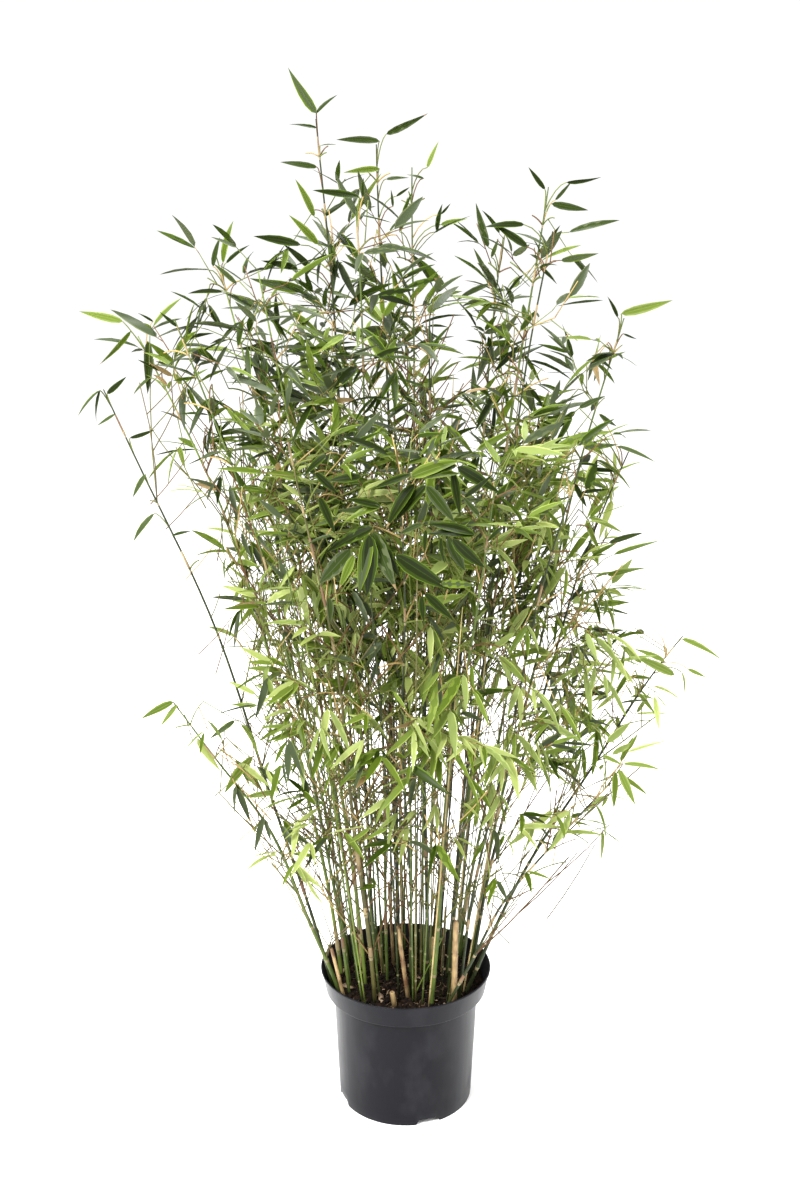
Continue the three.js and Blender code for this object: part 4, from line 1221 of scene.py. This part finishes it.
# The leaves at the tips of some canes, in the same way, but with their places in GREENS
TIP_LEAVES = {
    "lone": [
        (-445, 1195, 50, -140, 3), (-445, 1195, 50, -110, 1), (-435, 1190, 40, 40, 1),
        (-425, 1160, 30, -150, 3), (-405, 1125, 40, 15, 1), (-385, 1070, 40, -125, 3),
        (-375, 1010, 55, -140, 3), (-350, 975, 30, 25, 2), (-265, 680, 50, -145, 3),
    ],
    "tallest": [
        (-130, 1580, 75, 125, 3), (-130, 1580, 40, 45, 2), (-130, 1560, 40, 170, 1),
        (-130, 1505, 55, 170, 2), (-125, 1535, 25, 15, 2), (-135, 1435, 60, 110, 4),
        (-120, 1435, 45, 40, 1), (-130, 1395, 60, 130, 4), (-150, 1330, 85, 170, 3),
        (-155, 1395, 70, 165, 1), (-160, 1360, 55, 160, 1), (-140, 1360, 55, 135, 0),
    ],
    "centre_tall": [
        (-40, 1540, 65, 175, 2), (-30, 1550, 70, 25, 2), (-40, 1500, 55, -175, 4),
        (-30, 1485, 35, 5, 2), (-20, 1445, 25, 95, 2), (-15, 1460, 25, 35, 1),
    ],
    "centre": [
        (30, 1505, 40, 70, 5), (-10, 1415, 50, 70, 3), (45, 1415, 40, 90, 1), (50, 1425, 40, 15, 4),
        (50, 1440, 20, 45, 1), (25, 1490, 25, 160, 2),
    ],
    "centre_front": [
        (-60, 1470, 25, 95, 1), (-65, 1470, 65, 170, 1), (-65, 1445, 45, -10, 1),
    ],
    "right_tall": [
        (200, 1475, 40, 130, 1), (215, 1460, 35, 50, 2), (230, 1485, 50, 5, 1), (210, 1455, 55, -10, 2),
        (235, 1415, 75, 20, 2), (205, 1400, 30, 55, 1), (225, 1375, 55, 10, 3), (195, 1385, 30, 110, 2),
        (195, 1365, 35, -40, 1),
    ],
    "right_front": [
        (160, 1435, 55, 175, 1), (165, 1405, 55, 145, 1),
    ],
    "right_back": [
        (125, 1385, 70, 110, 2), (130, 1370, 30, 70, 3), (125, 1340, 50, 115, 3),
        (130, 1330, 60, -165, 2),
    ],
    "right_outer": [
        (320, 1285, 35, 115, 1), (325, 1290, 80, 15, 5), (330, 1260, 20, -20, 1),
        (305, 1245, 25, -50, 5), (290, 1225, 30, -30, 1),
    ],
    "left_outer": [
        (-420, 1285, 65, 165, 5), (-410, 1270, 70, -130, 4), (-385, 1255, 80, -90, 2),
        (-375, 1285, 25, 145, 1), (-365, 1210, 40, 150, 1), (-385, 1200, 35, -145, 3),
    ],
    "right_low": [
        (430, 795, 75, -20, 5), (420, 740, 75, 150, 5), (430, 745, 40, -70, 6), (440, 750, 30, -20, 5),
        (405, 760, 55, 150, 5), (350, 740, 35, 0, 4), (345, 745, 45, -120, 4), (365, 710, 45, -50, 5),
    ],
    "right_short": [
        (315, 675, 55, 5, 5), (310, 665, 60, -65, 5), (305, 660, 55, -90, 4), (280, 600, 60, -60, 5),
        (285, 690, 30, -20, 5),
    ],
    "left_tall": [
        (-290, 1360, 45, 80, 2), (-275, 1365, 65, 85, 4), (-270, 1365, 45, 45, 1),
        (-255, 1335, 45, 135, 3), (-295, 1355, 75, 175, 2),
    ],
    "left_front": [
        (-305, 1275, 60, 80, 3), (-315, 1300, 30, 135, 1),
    ],
    "right_side": [
        (305, 1120, 60, -15, 3), (255, 1120, 50, 10, 3), (275, 1100, 70, -25, 3), (265, 1085, 40, 5, 1),
        (245, 1075, 50, -15, 3), (245, 1065, 40, -65, 1), (255, 1050, 40, 15, 1),
        (255, 1125, 50, 50, 3), (245, 1180, 40, 30, 2), (275, 1170, 30, -40, 2), (270, 1140, 25, 15, 5),
        (270, 1010, 55, -20, 5), (265, 1005, 60, -65, 5), (300, 970, 55, 25, 2), (300, 920, 65, 15, 4),
    ],
    "left_low": [
        (-345, 745, 55, -155, 4), (-340, 740, 40, -130, 5), (-230, 655, 80, -135, 4),
        (-200, 590, 50, -170, 5),
    ],
}


def leaf_finish(name, colour, roughness):
    """A thin blade that lets some light through, which takes a warmer colour on its way."""
    blade = Finish(name, {"Base Color": colour, "Roughness": roughness, "Specular IOR Level": 0.11})
    through = (*(shade * glow for shade, glow in zip(colour, LEAF_GLOW)), 1)
    glow = blade.node("ShaderNodeBsdfTranslucent", {}, {"Color": through})
    surface = Shade(blade, blade.shader.outputs[0])
    both = blade.node("ShaderNodeMixShader", {}, {0: LEAF_GLOW_SHARE, 1: surface, 2: glow})
    blade.put(blade.nodes["Material Output"].inputs[0], both)
    return blade


leaf_finishes = []
# The edge finishes are paler: partly the leaf's own margin, partly a painted highlight
for name, (face, edge) in GREENS.items():
    under = tuple(blend(np.array(face), np.array(edge), UNDERSIDE_SHARE))
    for part, colour, roughness in zip(("", "margin_and_highlight_", "under_"), (face, edge, under), LEAF_ROUGHNESS):
        leaf_finishes.append(leaf_finish("leaf_" + part + name, colour, roughness))


def leaf_blades(root, heading, length, width_share, blade, seed, outward):
    """Leaves as grids (leaf, row, column, xyz), each turned round its midrib until it faces
    outward. The midrib is an arc that bends down from its heading. Across it lie the blade's
    columns, folded up like a shallow V, and the last one below them closes the underside. The
    half width is the row's share to a power times the rest to a power, which is widest at
    LEAF_WIDEST."""
    rows, columns, _ = blade
    count = len(root)
    random = np.random.default_rng(seed)
    face = unit(outward - (outward * heading).sum(-1, keepdims=True) * heading)
    aside = np.cross(face, heading)
    roll = random.normal(0, LEAF_ROLL, count)[:, None]
    face, aside = face * np.cos(roll) + aside * np.sin(roll), aside * np.cos(roll) - face * np.sin(roll)
    curl = random.uniform(*LEAF_CURL, count)[:, None, None]
    row = rows[None, :, None]
    turned_by = curl * row
    spine = np.sin(turned_by) / curl * heading[:, None] - (1 - np.cos(turned_by)) / curl * face[:, None]
    spine = root[:, None] + spine * length[:, None, None]
    upward = np.cos(turned_by) * face[:, None] + np.sin(turned_by) * heading[:, None]
    lean_over = random.normal(0, LEAF_LEAN, count)[:, None, None] * row
    across = np.cos(lean_over) * aside[:, None] + np.sin(lean_over) * upward
    upward = np.cos(lean_over) * upward - np.sin(lean_over) * aside[:, None]
    foot_power, tip_power = LEAF_WIDEST * LEAF_FULLNESS, (1 - LEAF_WIDEST) * LEAF_FULLNESS
    shape = (rows / LEAF_WIDEST) ** foot_power * ((1 - rows) / (1 - LEAF_WIDEST)) ** tip_power
    half = length * width_share / 2 * random.uniform(*LEAF_WIDTHS, count)
    fold = random.uniform(*LEAF_FOLD, count)[:, None, None]
    side = (half[:, None] * shape)[..., None] * columns
    rise = np.abs(side) * fold
    rise[..., -1] = -LEAF_THICKNESS * (shape > 0)
    return spine[:, :, None] + across[:, :, None] * side[..., None] + upward[:, :, None] * rise[..., None]


def make_leaves(name, blades, blade, green):
    """Joins leaves into one mesh, with a sharp line where the upper face meets the underside,
    and dries the tips of a few."""
    rows, columns, parts = blade
    points, faces = closed_skin(blades)
    # The middle of a large leaf's face takes the darker green: painted shade along the fold
    green = np.where(parts == 3, FOLD_SHADE_GREEN[green][:, None], green[:, None])
    shown = (green * 3 + parts % 3)[:, None].repeat(len(rows) - 1, 1)
    dry = np.random.default_rng(len(blades)).uniform(0, 1, len(blades)) < BROWN_TIP_CHANCE
    shown[dry, -1] = STRAW_GREEN * 3
    leaves = make_piece(name, points, faces, leaf_finishes, shown)
    per_leaf = len(points) // len(blades)
    within = np.arange(len(points)) % per_leaf
    column = (within - 1) % len(columns)
    border = (column == 0) | (column == len(columns) - 2) | (within == 0) | (within == per_leaf - 1)
    edges = np.empty(len(leaves.data.edges) * 2, np.int32)
    leaves.data.edges.foreach_get("vertices", edges)
    sharp = leaves.data.attributes.new("sharp_edge", "BOOLEAN", "EDGE")
    sharp.data.foreach_set("value", border[edges.reshape(-1, 2)].all(1))
    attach(leaves, "root")
    return leaves


def listed_leaves(rows):
    """The x and z of listed leaves' feet, those of their tips, and their greens. A tip is the
    leaf's length away from its foot, turned up from the right."""
    foot_x, foot_z, long, turn, green = np.array(rows).T
    foot_x, foot_z, long, turn = foot_x / MM, foot_z / MM, long / MM, np.radians(turn)
    return foot_x, foot_z, foot_x + long * np.cos(turn), foot_z + long * np.sin(turn), green


def placed_leaves(name, root, end, width_share, green, seed):
    """A group of large leaves from roots to ends, which face the front."""
    reach = np.linalg.norm(end - root, axis=-1)
    blades = leaf_blades(root, unit(end - root), reach, width_share, BROAD, seed, UP - FRONT_FACING)
    return make_leaves(name, blades, BROAD, green)


def make_front_leaves():
    """The leaves of the front hang a little before one plane, and their stalks come from the
    canes behind and below it."""
    foot_x, foot_z, tip_x, tip_z, green = listed_leaves(FRONT_LEAVES)
    number = np.arange(len(green))
    out = CLUSTER_PLACE - CLUSTER_DEPTH * pick(number, 1, 88)
    root = np.stack([foot_x, out, foot_z], -1)
    out = out - CLUSTER_DEPTH * (pick(number, 2, 88) - CLUSTER_FORWARD)
    end = np.stack([tip_x, out, tip_z], -1)
    placed_leaves("leaves_cluster", root, end, CLUSTER_WIDTH_SHARE, CLUSTER_GREENS[green], CLUSTER_SEED)
    start = root * CLUSTER_STALK_FROM - CLUSTER_STALK_DROP
    chance = pick(number, 3, 88)
    make_twigs(
        "cluster_stalks", start, root * CLUSTER_STALK_BY, root, CLUSTER_STALK_RADIUS, LEAFY_COLOURS, chance
    )


def make_tip_leaves():
    """The leaves of the tips stand as far forward as the nearest point of their cane, and their
    stalks leave it a little lower."""
    cane = np.array([list(CANES).index(name) for name, rows in TIP_LEAVES.items() for _ in rows])
    foot_x, foot_z, tip_x, tip_z, green = listed_leaves(sum(TIP_LEAVES.values(), []))
    stem = on_cane(cane[:, None], TIP_STEM)
    off = np.hypot(stem[..., 0] - foot_x[:, None], stem[..., 2] - foot_z[:, None])
    number = np.arange(len(cane))
    beside = stem[number, off.argmin(1)]
    below = stem[number, np.maximum(off.argmin(1) - TIP_STALK_STEPS, 0)]
    out = beside[:, 1] - off.min(1) * TIP_FORWARD
    root = np.stack([foot_x, out, foot_z], -1)
    end = np.stack([tip_x, out - TIP_DEPTH, tip_z], -1)
    leaves = placed_leaves("leaves_tips", root, end, TIP_WIDTH_SHARE, green, TIP_SEED)
    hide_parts("foliage_lone")
    middle = blend(beside, root, TIP_STALK_BEND)
    chance = pick(cane, number, 89)
    make_twigs(
        "tip_stalks", below, middle, root, TIP_STALK_RADIUS, LEAFY_COLOURS, chance, rows=5, sides=3
    )


make_front_leaves()
make_tip_leaves()


# Small leaves
# Narrow blades with a drawn-out tip, in fans of up to four at the ends of the fine branchlets
# that each twig forks into. A leaf is made like a large one, with fewer faces.
LEAF_REACH = 0.135
LEAF_REACHES = (0.8, 1.1)
LEAF_TRY_SHRINK = 0.03
LEAF_SPREAD = (0.6, 1.0)
LEAF_SPREAD_AT_TIP = 0.15
LEAF_FALL = (-0.1, 0.6)
LEAF_SWAY = 0.55
LEAF_TRIES = 9
LEAF_TESTED_AT = 0.6
LONG_TWIG = 0.070
LONG_PLACES = np.array([1.0, 0.82, 0.62, 0.40])
SHORT_PLACES = np.array([1.0, 0.75, 0.45, np.nan])
ALONG_STEP = 0.01
EDGE_FROM = 0.60
EDGE_CHANCE = 0.70
TIP_SPRAYS = 3
TIP_SPRAY_STEP = 0.034
TIP_SPRAY_REACH = 0.088
TIP_SPRAY_REACHES = (0.85, 1.1)
TIP_SPRAY_AHEAD = (1.4, 0.5)
TIP_SPRAY_RISE = -0.2
TIP_NUMBER = 901
LOW_CHANCE = 0.30
LOW_FROM = 0.31
LOW_REACHES = (0.6, 0.9)
LOW_NUMBER = 3000
TWIG_SPRAYS = 7
SPRAY_FORKS = 5
BRANCHLET_SHARE = 0.52
BRANCHLET_RADIUS = 0.0010
FORK_AT = np.array([0.52, 0.36, 0.20])
FORK_MIDDLE = FORK_AT + 0.25
FORK_SHARE = 0.13
FORK_SIDEWAYS = 0.25
FORK_DROP = (-0.35, 0.35)
LEAF_STALK_RADIUS = 0.0008
# How much of the foliage is there: by height, by nearness to the crown's outline, from left to
# right, and in the gap that parts the middle of the crown from its right side
FULL_AT = (
    (0.30, 0.45, 0.57, 0.65, 1.08, 1.18, 1.30, 1.42, 1.50, 1.60),
    (0.12, 0.15, 0.32, 0.68, 0.85, 0.66, 0.46, 0.22, 0.05, 0.02),
)
FULL_OUT = ((0.50, 0.95), (1.0, 0.42))
FULL_ACROSS = ((-0.32, -0.22, 0.03, 0.14, 0.22, 0.30), (0.75, 1.0, 1.0, 0.97, 0.88, 0.78))
GAP_MIDDLE = 0.070
GAP_WIDTH = 0.046
GAP_FROM = (1.08, 1.20)
GAP_CHANCE = 0.06
FAN_LEAVES = 4
FAN_LEAF_CHANCE = np.array([1.0, 0.72, 0.36, 0.10])
FAN_STEP = 0.22
FAN_SHRINK = 0.07
FAN_SIDEWAYS = 0.15
FAN_DROP = (-0.15, 0.35)
FAN_DROP_STEP = 0.10
OTHERS_SIDEWAYS = (0.5, 1.1)
LEAF_SHORT = 0.038
LEAF_LONG = 0.076
# How large leaves are and how far they hang, by height
LEAF_SIZE = ((0.40, 0.90, 1.20, 1.50), (0.96, 1.02, 1.05, 1.08))
LEAF_HANG = ((0.40, 0.80, 1.15, 1.50), (0.40, 0.35, 0.10, -0.30))
LEAF_WIDTH_SHARE = 0.172
LEAF_FACING = 0.55
LEAF_SEED = 5
LEAF_NUMBERS = 7
# The space in which the large leaves of the front stand instead
CLUSTER_LOW = np.array([-0.13, -0.42, 0.93])
CLUSTER_HIGH = np.array([0.11, -0.22, 1.13])
BOX_SPARE = 0.006
STRAW_CHANCE = 0.002
# How many leaves take a greyish green that paints the sheen of their gloss, and which place in
# GREENS is usual, by height
SHEEN_GREY_AT = ((1.10, 1.40), (0.0, 0.50))
GREEN_AT = ((0.35, 0.75, 0.98, 1.12, 1.25, 1.50), (3.8, 4.2, 4.2, 2.6, 1.6, 0.9))
GREEN_SPREAD = 4.2
LEAF_GREEN_SPREAD = 3.2
# The blade, listed like the broad one
NARROW = (
    np.array([0.0, 0.12, 0.36, 0.62, 0.86, 1.0]),
    np.array([1.0, 0.74, 0.0, -1.0, 0.0]),
    np.array([1, 0, 0, 2, 2]),
)
# Which canes' leaves are joined to one piece
GROUPS = {
    "far_left": ["left_outer", "left_front", "left_low"],
    "left": ["left_tall", "left_inner", "back_far_left", "back_left"],
    "middle": ["tallest", "centre_front", "centre_tall", "centre"],
    "front": ["front", "front_left", "front_right", "centre_right"],
    "back": ["back", "back_right", "right_back", "back_far_right"],
    "right": ["right_tall", "right_front", "right_outer"],
    "far_right": ["right_side", "right_low", "right_near", "right_short"],
}


def leaf_sprays():
    """Branchlets as (cane, number, start, heading, reach): they stand where the solid leaves
    do, alternate along the twig and one at its end, and rise or hang until they fit. Towards
    the crown's outline more and more of them are missing."""
    curve = np.linalg.norm(twig_end - twig_start, axis=-1)
    places = np.where((curve > LONG_TWIG)[:, None], LONG_PLACES, SHORT_PLACES)
    twig, index = np.nonzero(~np.isnan(places))
    at = places[twig, index]
    cane, number = twig_cane[twig], twig_number[twig]
    start, middle, end = twig_start[twig], twig_middle[twig], twig_end[twig]
    root = quadratic(start, middle, end, at[:, None])[:, 0]
    along = unit(quadratic(start, middle, end, at[:, None] + ALONG_STEP)[:, 0] - root)
    aside = unit(np.cross(along, UP))
    use = 10 + 3 * index
    spread = np.where(at == 1, LEAF_SPREAD_AT_TIP, blend(*LEAF_SPREAD, pick(cane, number, use)))
    spread = spread * np.where(index % 2, 1, -1)
    attempt = np.arange(LEAF_TRIES)
    sway = LEAF_SWAY * np.ceil(attempt / 2) * np.where(attempt % 2, -1, 1)
    fall = blend(*LEAF_FALL, pick(cane, number, use + 1))[:, None] + sway
    ways = unit(along[:, None] + (aside * spread[:, None])[:, None] - UP * fall[..., None])
    reach = LEAF_REACH * blend(*LEAF_REACHES, pick(cane, number, use + 2))
    reach = reach[:, None] * (1 - LEAF_TRY_SHRINK * attempt)
    far = root[:, None] + ways * reach[..., None]
    fitting = fits(cane, np.stack([blend(root[:, None], far, LEAF_TESTED_AT), far], 2))
    chance = np.interp(crown_share(far[:, 0]), [EDGE_FROM, 1], [1, EDGE_CHANCE])
    kept = fitting.any(1) & (pick(cane, number, use + 40) < chance)
    row = np.nonzero(kept)[0]
    first = fitting.argmax(1)[row]
    number = number * TWIG_SPRAYS + index
    return cane[row], number[row], root[row], ways[row, first], reach[row, first]


def tip_sprays():
    """Branchlets at the end of each stem without listed leaves: three that lead outwards and
    alternate."""
    free = np.array([number for number, name in enumerate(CANES) if name not in TIP_LEAVES])
    cane = np.repeat(free, TIP_SPRAYS)
    rank = np.tile(np.arange(TIP_SPRAYS), len(free))
    share = 1 - rank * TIP_SPRAY_STEP / tall[cane]
    turn = np.arctan2(tip[cane, 1], tip[cane, 0]) + rank * np.radians(GOLDEN_DEG)
    along = cane_heading(cane, share) * np.where(rank == 0, *TIP_SPRAY_AHEAD)[:, None]
    along = unit(along + level(turn, TIP_SPRAY_RISE * rank))
    reach = TIP_SPRAY_REACH * blend(*TIP_SPRAY_REACHES, pick(cane, TIP_NUMBER, rank))
    return cane, TIP_NUMBER + rank, on_cane(cane, share), along, reach


def low_sprays():
    """Branchlets of the few leaves on the lowest twigs: they carry on from some dead twigs."""
    shown = (pick(dead_cane, dead_number, 37) < LOW_CHANCE) & dead_main & (dead_end[:, 2] > LOW_FROM)
    cane, number = dead_cane[shown], dead_number[shown]
    along = unit(dead_end[shown] - dead_middle[shown])
    reach = LEAF_REACH * blend(*LOW_REACHES, pick(cane, number, 38))
    far = dead_end[shown] + along * reach[:, None]
    kept = crown_share(far) < 1
    return cane[kept], LOW_NUMBER + number[kept], dead_end[shown][kept], along[kept], reach[kept]


def fullness(points):
    """The chance that foliage stands at points: its share by height, by nearness to the
    outline, by the place across and by the gap, multiplied."""
    across = points[:, 0]
    deep = np.exp(-((across - GAP_MIDDLE) / GAP_WIDTH) ** 2) * np.interp(points[:, 2], GAP_FROM, [0, 1])
    full = np.interp(points[:, 2], *FULL_AT) * np.interp(crown_share(points), *FULL_OUT)
    return full * np.interp(across, *FULL_ACROSS) * blend(1, GAP_CHANCE, deep)


def fanned(cane, number, rank, heading, first, use, drop):
    """The directions of shoots that leave their heading to its two sides by turns, the first of
    them by little, and that drop or rise as well."""
    side = np.where(rank == 0, first, blend(*OTHERS_SIDEWAYS, pick(cane, number, use + rank)))
    aside = unit(np.cross(heading, UP)) * (np.where(rank % 2, 1, -1) * side)[:, None]
    return unit(heading + aside - UP * drop[:, None])


def forked(cane, number, start, heading, reach):
    """Splits branchlets into forks, as (branchlet, number, start, heading, length): one goes
    on at the end, and the others leave to both sides further back."""
    branchlet = np.repeat(np.arange(len(cane)), len(FORK_AT))
    rank = np.tile(np.arange(len(FORK_AT)), len(cane))
    middle = start[branchlet] + heading[branchlet] * (reach[branchlet] * FORK_MIDDLE[rank])[:, None]
    chance = np.where(number[branchlet] == TIP_NUMBER, rank == 0, fullness(middle))
    kept = pick(cane[branchlet], number[branchlet], 65 + rank) < chance
    branchlet, rank = branchlet[kept], rank[kept]
    cane, number, heading, reach = cane[branchlet], number[branchlet], heading[branchlet], reach[branchlet]
    drop = blend(*FORK_DROP, pick(cane, number, 97 + rank))
    along = fanned(cane, number, rank, heading, FORK_SIDEWAYS, 94, drop)
    root = start[branchlet] + heading * (reach * FORK_AT[rank])[:, None]
    return branchlet, number * SPRAY_FORKS + rank, root, along, reach * FORK_SHARE


def fan_leaves(cane, number, start, heading, length):
    """The leaves of forks as (fork, root, heading, length). The first leaf carries on the
    fork's line, and the others leave it to both sides, further back."""
    fork = np.repeat(np.arange(len(cane)), FAN_LEAVES)
    rank = np.tile(np.arange(FAN_LEAVES), len(cane))
    kept = pick(cane[fork], number[fork], 70 + rank) < FAN_LEAF_CHANCE[rank]
    fork, rank = fork[kept], rank[kept]
    cane, number, heading = cane[fork], number[fork], heading[fork]
    root = start[fork] + heading * (length[fork] * (1 - FAN_STEP * rank))[:, None]
    drop = blend(*FAN_DROP, pick(cane, number, 78 + rank)) + FAN_DROP_STEP * rank
    along = fanned(cane, number, rank, heading, FAN_SIDEWAYS, 74, drop + np.interp(root[:, 2], *LEAF_HANG))
    length = blend(LEAF_SHORT, LEAF_LONG, pick(cane, number, 82 + rank)) * (1 - FAN_SHRINK * rank)
    return fork, root, along, length * np.interp(root[:, 2], *LEAF_SIZE)


def spray_shade(cane, number, place):
    """Where each spray stands in the row of greens: yellower low down, deeper high up, and
    some steps off by chance."""
    return np.interp(place[:, 2], *GREEN_AT) + GREEN_SPREAD * (pick(cane, number, 90) - 0.5)


def leaf_shade(cane, number, shade, height):
    """The green of each leaf: the one of its spray, or one beside it. Near the top many take
    the greyish green, a painted sheen."""
    own = shade + LEAF_GREEN_SPREAD * (pick(cane, number, 84) - 0.5)
    green = np.clip(np.round(own), 0, YELLOW_GREEN).astype(int)
    # Near the top, darker leaves turn greyish: a painted sheen
    grey = pick(cane, number, 85) < np.interp(height, *SHEEN_GREY_AT)
    green = np.where(grey & (green < MID_GREEN), SHEEN_GREY_GREEN, green)
    return np.where(pick(cane, number, 91) < STRAW_CHANCE, STRAW_GREEN, green)


def make_shoots(name, start, reach, thick, chance, rows):
    """Straight twigs from their starts as far as they reach."""
    middle, end = start + reach / 2, start + reach
    make_twigs(name, start, middle, end, thick, LEAFY_COLOURS, chance, rows, sides=3)


# The lone cane has only listed leaves, so its sprays are left out
sprays = [np.concatenate(parts) for parts in zip(leaf_sprays(), tip_sprays(), low_sprays())]
sprays = [column[sprays[0] != list(CANES).index("lone")] for column in sprays]
leafy = np.unique(forked(*sprays)[0])
spray_cane, spray_number, spray_start, spray_heading, spray_reach = (column[leafy] for column in sprays)
fork_spray, fork_number, fork_start, fork_heading, fork_length = forked(
    spray_cane, spray_number, spray_start, spray_heading, spray_reach
)
fork_cane = spray_cane[fork_spray]
make_shoots(
    "branchlets",
    spray_start,
    spray_heading * spray_reach[:, None] * BRANCHLET_SHARE,
    BRANCHLET_RADIUS,
    pick(spray_cane, spray_number, 92),
    rows=3,
)
make_shoots(
    "leaf_stalks",
    fork_start,
    fork_heading * fork_length[:, None],
    LEAF_STALK_RADIUS,
    pick(fork_cane, fork_number, 93),
    rows=2,
)
leaf_fork, leaf_root, leaf_heading, leaf_length = fan_leaves(
    fork_cane, fork_number, fork_start, fork_heading, fork_length
)
leaf_cane = fork_cane[leaf_fork]
leaf_number = fork_number[leaf_fork] * FAN_LEAVES + np.arange(len(leaf_fork)) % LEAF_NUMBERS
shades = spray_shade(spray_cane, spray_number, spray_start)[fork_spray[leaf_fork]]
leaf_green = leaf_shade(leaf_cane, leaf_number, shades, leaf_root[:, 2])
in_cluster = ((leaf_root > CLUSTER_LOW) & (leaf_root < CLUSTER_HIGH)).all(1)
box_low, box_high = np.array(cad_box[0]) - BOX_SPARE, np.array(cad_box[1]) + BOX_SPARE


def make_leaf_group(group, members):
    """The leaves of some canes that lie wholly inside the plant's box. They face upwards, and
    away from the middle of the clump."""
    numbers = [list(CANES).index(member) for member in members]
    chosen = ~in_cluster & np.isin(leaf_cane, numbers)
    root = leaf_root[chosen]
    outward = UP + unit(root * (1, 1, 0)) * LEAF_FACING
    blades = leaf_blades(
        root, leaf_heading[chosen], leaf_length[chosen], LEAF_WIDTH_SHARE, NARROW, LEAF_SEED, outward
    )
    shown = ((blades > box_low) & (blades < box_high)).all((1, 2, 3))
    leaves = make_leaves("leaves_" + group, blades[shown], NARROW, leaf_green[chosen][shown])
    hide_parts(*("foliage_" + member for member in members))


for group, members in GROUPS.items():
    make_leaf_group(group, members)
